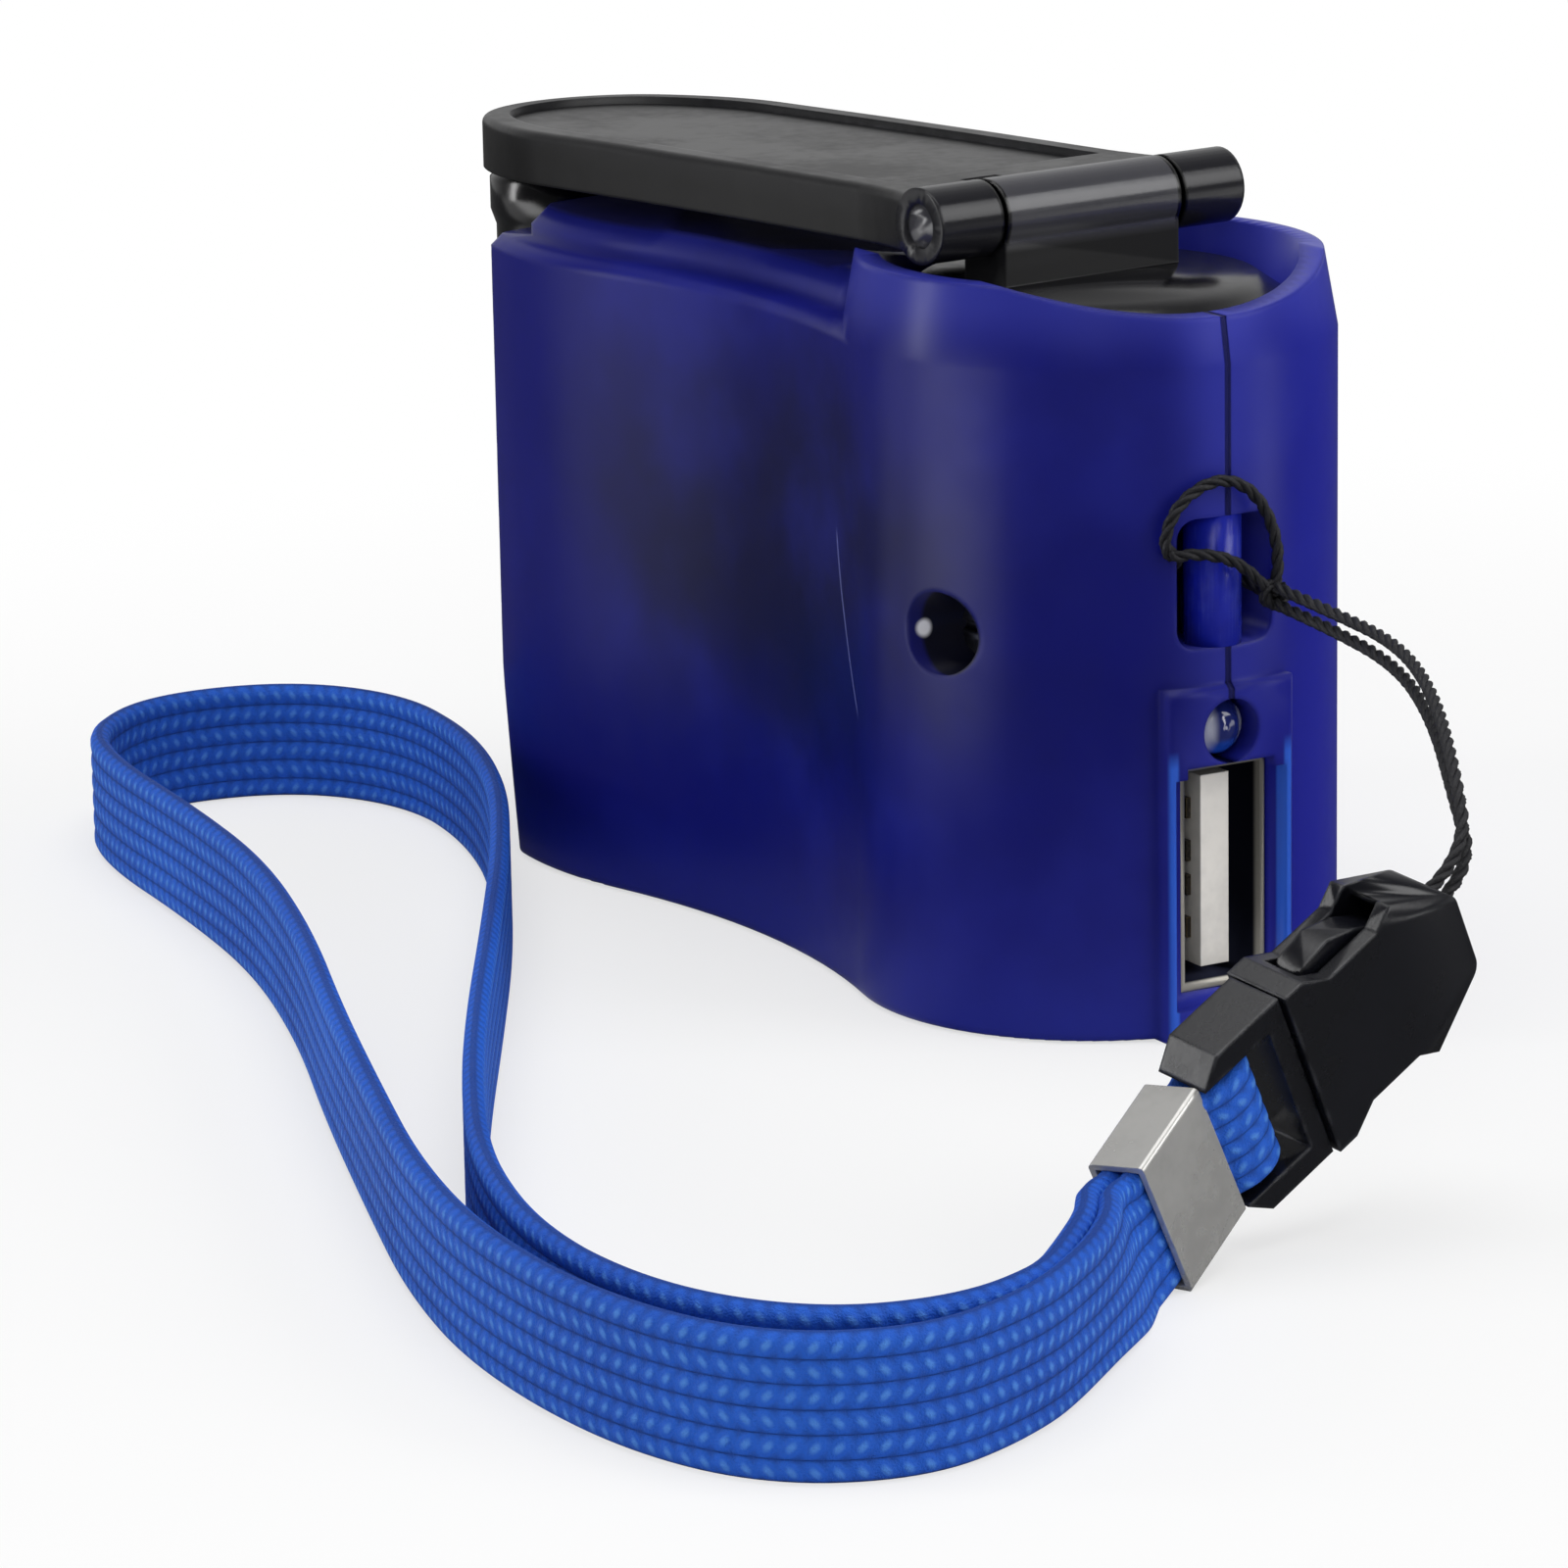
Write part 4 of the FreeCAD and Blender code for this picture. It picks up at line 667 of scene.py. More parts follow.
PLASTICS = {
    # the arm's lighter rubbed edges are partly rubbing and partly a painted highlight along its edges
    "arm": Moulding("satin_black_plastic", tone(16, 16, 19), tone(54, 54, 58), 0.3, 0.4, edge=0.3, wear_and_sheen=0.6,
                    level=0.38),
    "hub": Moulding("gloss_black_plastic", tone(14, 14, 17), tone(70, 70, 74), 0.16, 0.24, wear_and_sheen=0.15,
                    level=0.6),
    "buckle": Moulding("black_acetal", tone(18, 19, 25), tone(74, 75, 80), 0.2, 0.3),
    "post": Moulding("blue_post", tone(24, 36, 168), tone(96, 116, 232), 0.2, 0.28, edge=0.3, wear_and_sheen=0.2),
    "gear": Moulding("white_acetal", tone(196, 196, 190), tone(220, 220, 216), 0.35, 0.5, wear_and_sheen=0.1),
    "inner": Moulding("dark_inner_plastic", tone(40, 42, 50), tone(80, 80, 84), 0.4, 0.55),
    "board": Moulding("green_laminate", tone(28, 84, 50), tone(120, 140, 110), 0.35, 0.5, edge=0.1),
    "tongue": Moulding("white_port_plastic", tone(238, 234, 226), tone(244, 244, 242), 0.35, 0.5, edge=0.12),
    "steel": Moulding("plated_steel", tone(196, 196, 194), tone(225, 225, 224), 0.2, 0.34, metal=1.0,
                      edge=0.12, grain=9000.0, depth=0.002, wear_and_sheen=0.6),
    "bright": Moulding("bright_nickel", tone(190, 189, 186), tone(240, 240, 238), 0.2, 0.32, metal=0.45,
                       edge=0.1, grain=2500.0, wear_and_sheen=0.6),
    "port": Moulding("port_plate", tone(214, 210, 200), tone(226, 226, 222), 0.3, 0.42, metal=1.0, edge=0.08),
    "screw": Moulding("dark_screw", tone(70, 72, 84), tone(190, 190, 192), 0.3, 0.45, metal=1.0, edge=0.1),
    "brass": Moulding("brass", tone(196, 160, 84), tone(226, 200, 140), 0.24, 0.4, metal=1.0, edge=0.1),
    "gold": Moulding("gold_contact", tone(70, 66, 60), tone(200, 170, 110), 0.25, 0.4, metal=0.6, edge=0.06),
}


class HousingFinish(Finish):
    """Deep blue translucent plastic that shows darker where the works stand behind it.

    Its places and sizes are in millimetres.
    """

    name = "blue_translucent_plastic"
    blue = tone(17, 20, 110)
    seam_tone = tone(12, 13, 50)
    seam_strength = 0.75
    seam_depth = 0.12
    works_middle = (-13.5, 24.5)
    works_reach = (21.0, 12.5)
    screw_middle = (4.9, 23.2)
    glint_place = (2.6, -12.85, 23.05)
    crease_height = 22.0
    crease_place = 5.54
    crease_lean = 0.33
    crease_bow = 19.4
    port_half_width = 3.85
    # roughness of the painted shadow under the arm
    arm_shadow_roughness = 0.85

    def works(self) -> Socket:
        """A mask of the ragged dark cloud where the works stand.

        Returns:
            The mask.
        """
        graph = self.graph
        across, up = (graph.maths("DIVIDE", graph.minus(where, middle * MM), reach * MM)
                      for where, middle, reach in zip((self.x, self.z), self.works_middle, self.works_reach))
        ragged = graph.plus(graph.distance(across, up), graph.span(self.cloud, 0.3, 0.7, -0.22, 0.22))
        return graph.span(ragged, 0.35, 1.35, 1.0, 0.0, True)

    def seam_highlight(self) -> Socket:
        """A mask of the painted highlight beside the seam on the round body.

        Returns:
            The mask.
        """
        graph = self.graph
        return graph.times(graph.fall(self.side, 0.4, 4.2, 0.42, True),
                           graph.climb(self.x, 9.0, 11.0, smooth=True),
                           graph.span(self.cloud, 0.35, 0.6, 0.55, 1.0, True))

    def port_edge_highlight(self) -> Socket:
        """A mask of the painted highlight, a bright line, beside the port.

        Returns:
            The mask.
        """
        graph = self.graph
        return graph.times(graph.fall(graph.away(self.side, self.port_half_width * MM), 0.15, 0.4, 0.8, True),
                           graph.climb(self.x, 13.3, 13.7), graph.fall(self.z, 16.0, 17.0))

    def well_shade(self) -> Socket:
        """A mask of the painted shade inside the screw's recess.

        Returns:
            The mask.
        """
        graph = self.graph
        ahead, above = self.screw_middle
        far = graph.distance(graph.minus(self.x, ahead * MM), graph.minus(self.z, above * MM))
        return graph.times(graph.fall(far, 2.4, 2.55), graph.climb(self.y, -13.15, -12.85),
                           graph.fall(self.y, -6.0, -5.0))

    def crease_highlight(self) -> Socket:
        """A mask of the painted highlight along the faint bowed line on the near side of the waist.

        Returns:
            The mask.
        """
        graph = self.graph
        lift = graph.minus(self.z, self.crease_height * MM)
        bow = graph.minus(graph.times(lift, lift, self.crease_bow), graph.times(lift, self.crease_lean))
        off = graph.away(graph.minus(self.x, graph.minus(bow, self.crease_place * MM)))
        return graph.times(graph.fall(off, 0.05, 0.16, 0.6, True),
                           graph.fall(graph.away(lift), 4.4, 5.4, smooth=True),
                           graph.fall(self.y, -9.0, -8.0))

    def paint(self) -> None:
        """Blue that darkens over the gear train, with painted highlights on the top rim, the right side, the
        base, beside the seam and the port and along the bowed line on the waist, a painted glint in the
        screw's recess, and painted shade in that recess and under the arm.
        """
        graph = self.graph
        where = graph.coordinates()
        self.x, self.y, self.z = graph.split(where)
        self.side = graph.away(self.y)
        self.cloud = graph.noise(90.0, 3.0)
        # painted shadow of the arm on the deck under it, darker and rougher there
        arm_shadow = graph.times(graph.climb(self.z, 40.7, 40.95), graph.fall(self.x, -14.5, -13.5))
        seam = graph.fall(self.side, 0.1, 0.24, smooth=True)
        off = graph.vectors("DISTANCE", where, metres(*self.glint_place))
        glint = graph.fall(off, 0.3, 0.65, smooth=True)
        blue = graph.layers(
            self.blue,
            (self.works(), tone(11, 13, 60)),
            # painted light: the right side is a lighter blue
            (graph.climb(self.y, -4.0, 14.0, 0.7, True), tone(26, 33, 172)),
            # painted highlight: lighter blue along the top rim
            (graph.climb(self.z, 38.5, 42.5, 0.45, True), tone(60, 66, 176)),
            # painted light: lighter blue towards the base
            (graph.fall(self.z, 0.0, 7.0, 0.65, True), tone(32, 42, 146)),
            # painted highlight beside the seam
            (self.seam_highlight(), tone(60, 66, 186)),
            # painted highlight: a bright blue line beside the port
            (self.port_edge_highlight(), tone(44, 100, 214)),
            # painted shadow under the arm
            (arm_shadow, tone(13, 15, 80)),
            (graph.span(graph.noise(70.0, 4.0), 0.45, 0.75, 0.0, 0.35, True), tone(36, 44, 160)),
            # painted shade inside the screw's recess
            (self.well_shade(), tone(6, 7, 30)),
            # painted highlight along the bowed line on the waist
            (self.crease_highlight(), tone(112, 118, 176)),
            (glint, tone(236, 236, 240)),
            (graph.times(seam, self.seam_strength), self.seam_tone))
        marks = self.effects.handling.put(graph, Scale=60.0, Low=0.28, High=0.36)
        relief = self.effects.relief.put(graph, Edge=0.5 * MM, Grain=900.0, Depth=0.001 * MM)
        groove = graph.bump(graph.minus(1.0, seam), self.seam_depth * MM, Normal=relief["Normal"])
        rough = graph.span(arm_shadow, 0.0, 1.0, marks["Roughness"], self.arm_shadow_roughness)
        self.set(Base_Color=blue, Roughness=rough, Normal=groove, Specular_IOR_Level=0.22)


class LensFinish(Finish):
    """The clear charge lamp."""

    name = "clear_lamp"

    def paint(self) -> None:
        """Clear resin with fine swirls, painted white highlights at both sides and painted bright blue light
        in its lower part.
        """
        graph = self.graph
        relief = self.effects.relief.put(graph, Edge=0.1 * MM, Grain=900.0, Depth=0.001 * MM)
        marks = self.effects.handling.put(graph, Low=0.08, High=0.14)
        _, y, z = graph.split()
        # painted highlights: white at both sides of the lamp
        pale = graph.maths("MAXIMUM", graph.fall(y, -1.3, -0.3, smooth=True),
                           graph.climb(y, 0.9, 1.4, 0.8, True))
        # painted light: bright blue in the lower part of the lamp
        lower = graph.fall(z, 16.3, 17.2, smooth=True)
        resin = graph.layers(tone(24, 34, 96), (lower, tone(40, 96, 214)), (pale, tone(222, 226, 236)))
        self.set(Base_Color=resin, Roughness=marks["Roughness"], Normal=relief["Normal"], IOR=1.5,
                 Coat_Weight=0.6)


class BraidFinish(Finish):
    """Royal blue braided polyester."""

    name = "blue_braid"

    def paint(self) -> None:
        """Stitches with painted highlights on their crowns, and painted shade in the grooves between the
        ribs.
        """
        graph = self.graph
        braid = self.effects.braid.put(graph)
        cloud = graph.span(graph.noise(60.0, 3.0), 0.35, 0.65)
        # painted highlight on the crowns of the stitches
        crest_highlight = graph.span(braid["Shade"], 0.62, 0.98, 0.0, 0.75, True)
        # painted shade in the grooves between the ribs
        deep = graph.span(braid["Shade"], 0.02, 0.5, 0.62, 0.0, True)
        thread = graph.layers(tone(28, 86, 192), (cloud, tone(34, 98, 210)), (crest_highlight, tone(84, 146, 228)),
                              (deep, tone(14, 40, 104)))
        self.set(Base_Color=thread, Roughness=graph.span(braid["Fuzz"], 0.0, 1.0, 0.55, 0.8),
                 Normal=graph.bump(braid["Height"], 0.28 * MM), Specular_IOR_Level=0.25)


class CordFinish(Finish):
    """Black twisted cord."""

    name = "black_cord"

    def paint(self) -> None:
        """Fibres along the plies."""
        graph = self.graph
        fibre = graph.noise(7000.0, 2.0)
        self.set(Base_Color=graph.layers(tone(14, 14, 17), (fibre, tone(36, 36, 42))),
                 Roughness=graph.span(fibre, 0.3, 0.7, 0.5, 0.75), Normal=graph.bump(fibre, 0.08 * MM, 0.6))


@dataclass
class Palette:
    """Every finish of the charger."""

    effects: Effects

    def __post_init__(self) -> None:
        """Builds each material once."""
        self.housing = HousingFinish(self.effects).material
        self.lamp = LensFinish(self.effects).material
        self.braid = BraidFinish(self.effects).material
        self.cord = CordFinish(self.effects).material
        special = {"arm": ArmFinish, "hub": HubFinish, "port": PortFinish}
        self.moulded = {key: special.get(key, MouldedFinish)(self.effects, made).material
                        for key, made in PLASTICS.items()}


# ------------------------------------------------------------------ mesh helpers

SMOOTH_ANGLE = 30.0
RIBBON_ANGLE = 60.0
DOUBLES = 1e-6
ON_WALL = 0.02 * MM
UPRIGHT = 0.03
SAME_WAY = 0.9


def new_piece(name: str, mesh: Mesh, material: Paint) -> Piece:
    """A piece at the origin with one material.

    Args:
        name: the piece's name.
        mesh: its mesh, in place.
        material: its finish.

    Returns:
        The piece's object.
    """
    mesh.materials.clear()
    mesh.materials.append(material)
    piece = bpy.data.objects.new(name, mesh)
    bpy.context.scene.collection.objects.link(piece)
    return piece


def shade_smooth(mesh: Mesh, angle: float) -> None:
    """Shades a mesh smooth up to an angle in degrees."""
    mesh.polygons.foreach_set("use_smooth", [True] * len(mesh.polygons))
    mesh.set_sharp_from_angle(angle=math.radians(angle))


def polish(mesh: Mesh) -> None:
    """Merges a mesh's doubles and shades it smooth.

    Args:
        mesh: the mesh.
    """
    work = bmesh.new()
    work.from_mesh(mesh)
    bmesh.ops.remove_doubles(work, verts=work.verts, dist=DOUBLES)
    work.to_mesh(mesh)
    work.free()
    shade_smooth(mesh, SMOOTH_ANGLE)


def level_top(mesh: Mesh, tilt: float) -> None:
    """Gives every face that nearly faces up one shared normal, so that it shades evenly.

    Args:
        mesh: the mesh.
        tilt: the largest lean of such a face in degrees.
    """
    near = math.cos(math.radians(tilt))
    flat = {loop for face in mesh.polygons if face.normal.z > near for loop in face.loop_indices}
    corners = enumerate(mesh.corner_normals)
    mesh.normals_split_custom_set([tuple(UP if loop in flat else corner.vector) for loop, corner in corners])


@dataclass(frozen=True)
class Bow:
    """One upright round wall of the housing.

    Attributes:
        middle: its centre in plan.
        radius: its radius.
        sense: 1 where it bulges and -1 where it is hollow.
    """

    middle: Vector
    radius: float
    sense: float

    def normal(self, point: Vector) -> Vector | None:
        """The wall's true normal at a point.

        Args:
            point: the point.

        Returns:
            The normal, or nothing where the point is off the wall.
        """
        way = Vector((point.x - self.middle.x, point.y - self.middle.y, 0.0))
        if abs(way.length - self.radius) > ON_WALL:
            return None
        return way.normalized() * self.sense


@dataclass(frozen=True)
class HousingSides:
    """The round walls of the housing's plan, in millimetres.

    Attributes:
        body_radius: radius of the round body.
        waist_half: half the width of the waist.
        waist_radius: radius of its hollow sides.
        tail_half: half the width of the tail.
        tail_radius: radius of the tail's sides.
        tail_reach: radius of the tail's end about the body's middle.
    """

    body_radius: float = 14.2
    waist_half: float = 12.0
    waist_radius: float = 55.0
    tail_half: float = 15.2
    tail_radius: float = 27.33
    tail_reach: float = 48.5

    def bows(self) -> list[Bow]:
        """Works out the walls of the near and the far side.

        Returns:
            Every round wall.
        """
        waist_y = self.waist_half + self.waist_radius
        waist_x = -math.sqrt((self.body_radius + self.waist_radius) ** 2 - waist_y ** 2)
        lean = waist_y - self.tail_half + self.tail_radius
        tail_x = waist_x - math.sqrt((self.waist_radius + self.tail_radius) ** 2 - lean ** 2)
        tail_y = self.tail_half - self.tail_radius
        walls = [Bow(metres(0, 0, 0), radius * MM, 1.0) for radius in (self.body_radius, self.tail_reach)]
        for side in (-1, 1):
            walls.append(Bow(metres(waist_x, side * waist_y, 0), self.waist_radius * MM, -1.0))
            walls.append(Bow(metres(tail_x, side * tail_y, 0), self.tail_radius * MM, 1.0))
        return walls


def true_sides(mesh: Mesh, walls: list[Bow]) -> None:
    """Gives the upright round walls their true normals.

    Args:
        mesh: the housing's mesh.
        walls: the round walls.
    """
    normals = [corner.vector.copy() for corner in mesh.corner_normals]
    for face in mesh.polygons:
        if abs(face.normal.z) > UPRIGHT:
            continue
        for wall in walls:
            given = [wall.normal(mesh.vertices[index].co) for index in face.vertices]
            if all(given) and min(normal.dot(face.normal) for normal in given) > SAME_WAY:
                for loop, normal in zip(face.loop_indices, given):
                    normals[loop] = normal
                break
    mesh.normals_split_custom_set([tuple(normal) for normal in normals])


@dataclass
class SubAssembly:
    """A part of the charger, with the frame it is built on and the palette.

    Attributes:
        frame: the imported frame.
        palette: every finish.
    """

    frame: dict
    palette: Palette

    def stand(self, piece: Piece, body: str, slot: str, *nodes: str) -> Piece:
        """Puts a piece on its body in the place of its nodes.

        Args:
            piece: the piece.
            body: the body that it rides on.
            slot: the record's material slot; not used.
            nodes: the nodes that it stands for.

        Returns:
            The same piece.
        """
        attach(piece, body)
        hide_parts(*nodes)
        LOG.info("%s stands for %s on %s", piece.name, ", ".join(nodes), body)
        return piece

    def smooth(self, node: str, name: str, body: str, material: Paint, slot: str) -> Piece:
        """A smooth copy of a rigid node, which it stands for.

        Args:
            node: the node.
            name: the piece's name.
            body: the body that it rides on.
            material: its finish.
            slot: the record's material slot.

        Returns:
            The piece's object.
        """
        mesh = self.frame["nodes"][node].data.copy()
        polish(mesh)
        return self.stand(new_piece(name, mesh, material), body, slot, node)

    def dress(self, finishes: dict[str, str]) -> None:
        """Gives carried-over nodes their finishes.

        Args:
            finishes: the key of each node's finish in the palette.
        """
        for node, key in finishes.items():
            mesh = self.frame["nodes"][node].data
            mesh.materials.clear()
            mesh.materials.append(self.palette.moulded[key])
            LOG.info("%s keeps its solid", node)


# ------------------------------------------------------------------ rigid sub-assemblies


@dataclass
class Housing(SubAssembly):
    """The two housing halves with what is fixed in them."""

    def build(self) -> None:
        """Dresses the housing and what it carries."""
        skin = self.palette.housing
        made = self.palette.moulded
        walls = HousingSides().bows()
        for node, name in (("housing_near_half", "housing_near"), ("housing_far_half", "housing_far")):
            true_sides(self.smooth(node, name, "housing", skin, "housing").data, walls)
        for node, name, finish, slot in (("lanyard_post", "lanyard_pin", made["post"], "housing"),
                                         ("case_screw", "case_screw_dark", made["screw"], "steel"),
                                         ("charge_lamp", "charge_lamp_lens", self.palette.lamp, "lamp"),
                                         ("port_shell", "port_shell_plated", made["port"], "steel"),
                                         ("port_tongue", "port_tongue_white", made["tongue"], "tongue")):
            self.smooth(node, name, "housing", finish, slot)
        self.dress({"port_contact_%d" % index: "gold" for index in range(1, 5)})
        self.dress({"circuit_board": "board", "storage_capacitor": "inner", "generator_can": "steel",
                    "generator_cap": "inner", "gear_plate": "inner", "idler_axle": "steel"})


@dataclass
class GearTrain(SubAssembly):
    """The wheels between the crank and the generator."""

    def build(self) -> None:
        """Dresses the wheels and the rotor."""
        self.dress({"crank_gear": "gear", "gear_washer": "steel", "idler_gear": "gear",
                    "rotor_pinion": "brass", "rotor_core": "steel", "rotor_shaft": "steel"})


@dataclass
class Crank(SubAssembly):
    """The turntable, the folding arm and the grip."""

    level: float = 4.0

    def build(self) -> None:
        """Dresses the crank's pieces."""
        made = self.palette.moulded
        self.smooth("turntable", "turntable_black", "crank", made["hub"], "hub")
        arm = self.smooth("crank_arm", "crank_arm_black", "arm", made["arm"], "arm")
        level_top(arm.data, self.level)
        self.smooth("hinge_pin", "hinge_pin_steel", "arm", made["hub"], "steel")
        self.smooth("grip_pin", "grip_pin_black", "arm", made["arm"], "arm")
        self.smooth("grip", "grip_black", "grip", made["hub"], "arm")


# ------------------------------------------------------------------ buckle, strap and strings


@dataclass(frozen=True)
class Pose:
    """A right-handed frame from three angles, in the order turn, rise, lean.

    Attributes:
        place: its origin in millimetres.
        turn: degrees about the upright axis.
        rise: degrees up from the table.
        lean: degrees about its own length.
    """

    place: Point
    turn: float
    rise: float
    lean: float

    def matrix(self) -> Matrix:
        """Works out the pose.

        Returns:
            Its matrix, in metres.
        """
        spin = Matrix.Rotation(math.radians(self.turn), 4, "Z")
        tip = Matrix.Rotation(math.radians(-self.rise), 4, "Y")
        roll = Matrix.Rotation(math.radians(self.lean), 4, "X")
        return Matrix.Translation(metres(*self.place)) @ spin @ tip @ roll

    def point(self, x: float, y: float = 0.0, z: float = 0.0) -> Vector:
        """A point of the frame, given in millimetres."""
        return self.matrix() @ metres(x, y, z)


BUCKLE = Pose((47.3, -18.8, 9.5), 96.9, 29.0, 8.9)
PLUG_LENGTH = 6.2
CRIMP_ROOM = 0.65
CRIMP_LENGTH = 6.2
CRIMP = Pose(tuple(BUCKLE.point(-PLUG_LENGTH - CRIMP_ROOM) / MM), 117.0, 26.0, -6.0)


def sampled(points: list[Vector], name: str) -> list[Vector]:
    """The smooth line of a route.

    Args:
        points: the route's points, which are the spline's control points.
        name: a name for the working curve.

    Returns:
        Close points along the spline.
    """
    curve = bpy.data.curves.new(name, "CURVE")
    curve.dimensions = "3D"
    curve.resolution_u = 24
    spline = curve.splines.new("NURBS")
    spline.points.add(len(points) - 1)
    for knot, point in zip(spline.points, points):
        knot.co = (*point, 1.0)
    spline.order_u = 3
    spline.use_endpoint_u = True
    carrier = bpy.data.objects.new(name, curve)
    mesh = bpy.data.meshes.new_from_object(carrier)
    line = [vertex.co.copy() for vertex in mesh.vertices]
    bpy.data.meshes.remove(mesh)
    bpy.data.objects.remove(carrier)
    bpy.data.curves.remove(curve)
    return line


def spaced(line: list[Vector], step: float) -> list[Vector]:
    """Points evenly spaced along a line.

    Args:
        line: the line's points.
        step: the wanted distance between points.

    Returns:
        The new points, with both ends kept.
    """
    lengths = [0.0]
    for first, second in zip(line, line[1:]):
        lengths.append(lengths[-1] + (second - first).length)
    count = max(2, round(lengths[-1] / step))
    result, place = [], 0
    for index in range(count + 1):
        want = lengths[-1] * index / count
        while place < len(line) - 2 and lengths[place + 1] < want:
            place += 1
        size = lengths[place + 1] - lengths[place]
        share = 0.0 if size == 0 else (want - lengths[place]) / size
        result.append(line[place].lerp(line[place + 1], min(1.0, max(0.0, share))))
    return result


def length_of(line: list[Vector]) -> float:
    """The length of a line."""
    return sum((second - first).length for first, second in zip(line, line[1:]))


@dataclass
class Ribbon:
    """A ribbed braid that follows a line, with its own coordinates.

    Attributes:
        width: across the ribs, in metres.
        thickness: over the ribs, in metres.
        ribs: number of ribs.
        samples: points across each rib.
        groove: how deep the grooves between the ribs are, as a share of the half thickness.
        rim: the thickness left at its edges, as a share of the half thickness.
    """

    width: float = 0.0074
    thickness: float = 0.0012
    ribs: int = 6
    samples: int = 5
    groove: float = 0.16
    rim: float = 0.25

    def section(self) -> list[Point]:
        """The ribbon's section.

        Returns:
            For each point its offset across the thickness and along the width, and its place across the ribs.
        """
        points = []
        count = self.ribs * self.samples
        for face in (1, -1):
            for index in range(count + 1):
                share = index / count if face == 1 else 1 - index / count
                local = abs((share * self.ribs) % 1.0 - 0.5) * 2
                crown = 1 - self.groove * local ** 2
                edge = min(share, 1 - share) * self.width / (self.thickness * 0.5)
                round_off = math.sqrt(max(0.0, 1 - (1 - min(1.0, edge)) ** 2))
                points.append((face * self.thickness / 2 * crown * (self.rim + (1 - self.rim) * round_off),
                               (share - 0.5) * self.width, share))
        return points

    def mesh(self, name: str, line: list[Vector], ups: list[Vector]) -> Mesh:
        """The ribbon's mesh.

        Args:
            name: the mesh's name.
            line: its centre line.
            ups: the direction of its width at each point.

        Returns:
            The mesh with a UV map in millimetres along and shares across.
        """
        section = self.section()
        work = bmesh.new()
        uv_layer = work.loops.layers.uv.new("UVMap")
        rings, stations, run = [], [], 0.0
        for index, point in enumerate(line):
            before, after = line[max(0, index - 1)], line[min(len(line) - 1, index + 1)]
            along = (after - before).normalized()
            across = ups[index].cross(along).normalized()
            up = along.cross(across)
            rings.append([work.verts.new(point + across * side + up * high) for side, high, _ in section])
            if index:
                run += (point - line[index - 1]).length
            stations.append(run / MM)
        size = len(section)
        for index in range(len(line) - 1):
            for place in range(size):
                other = (place + 1) % size
                corners = [(index, place), (index + 1, place), (index + 1, other), (index, other)]
                face = work.faces.new([rings[row][column] for row, column in corners])
                for loop, (row, column) in zip(face.loops, corners):
                    loop[uv_layer].uv = (stations[row], section[column][2])
        for ring in (rings[0], rings[-1]):
            work.faces.new(ring)
        bmesh.ops.recalc_face_normals(work, faces=work.faces)
        mesh = bpy.data.meshes.new(name)
        work.to_mesh(mesh)
        work.free()
        shade_smooth(mesh, RIBBON_ANGLE)
        return mesh


STRAP_ROUTE = [
    (57.0, -35.2), (61.4, -40.0), (65.3, -45.4), (67.6, -52.6), (64.2, -59.6), (55.4, -62.9), (43.0, -63.0),
    (31.0, -60.5), (17.5, -56.0), (3.0, -51.0), (-12.0, -45.4), (-27.0, -41.0), (-41.0, -39.0),
    (-54.0, -37.9), (-62.4, -35.4), (-67.6, -28.8), (-66.0, -19.6), (-58.4, -15.2), (-48.0, -16.2),
    (-36.0, -20.2), (-22.0, -27.4), (-6.0, -36.6), (8.0, -44.8), (20.0, -51.4), (32.0, -57.2),
    (44.5, -60.6), (55.6, -60.0), (62.6, -55.6), (64.6, -49.0), (62.6, -43.0), (59.4, -39.75), (56.0, -36.05)]


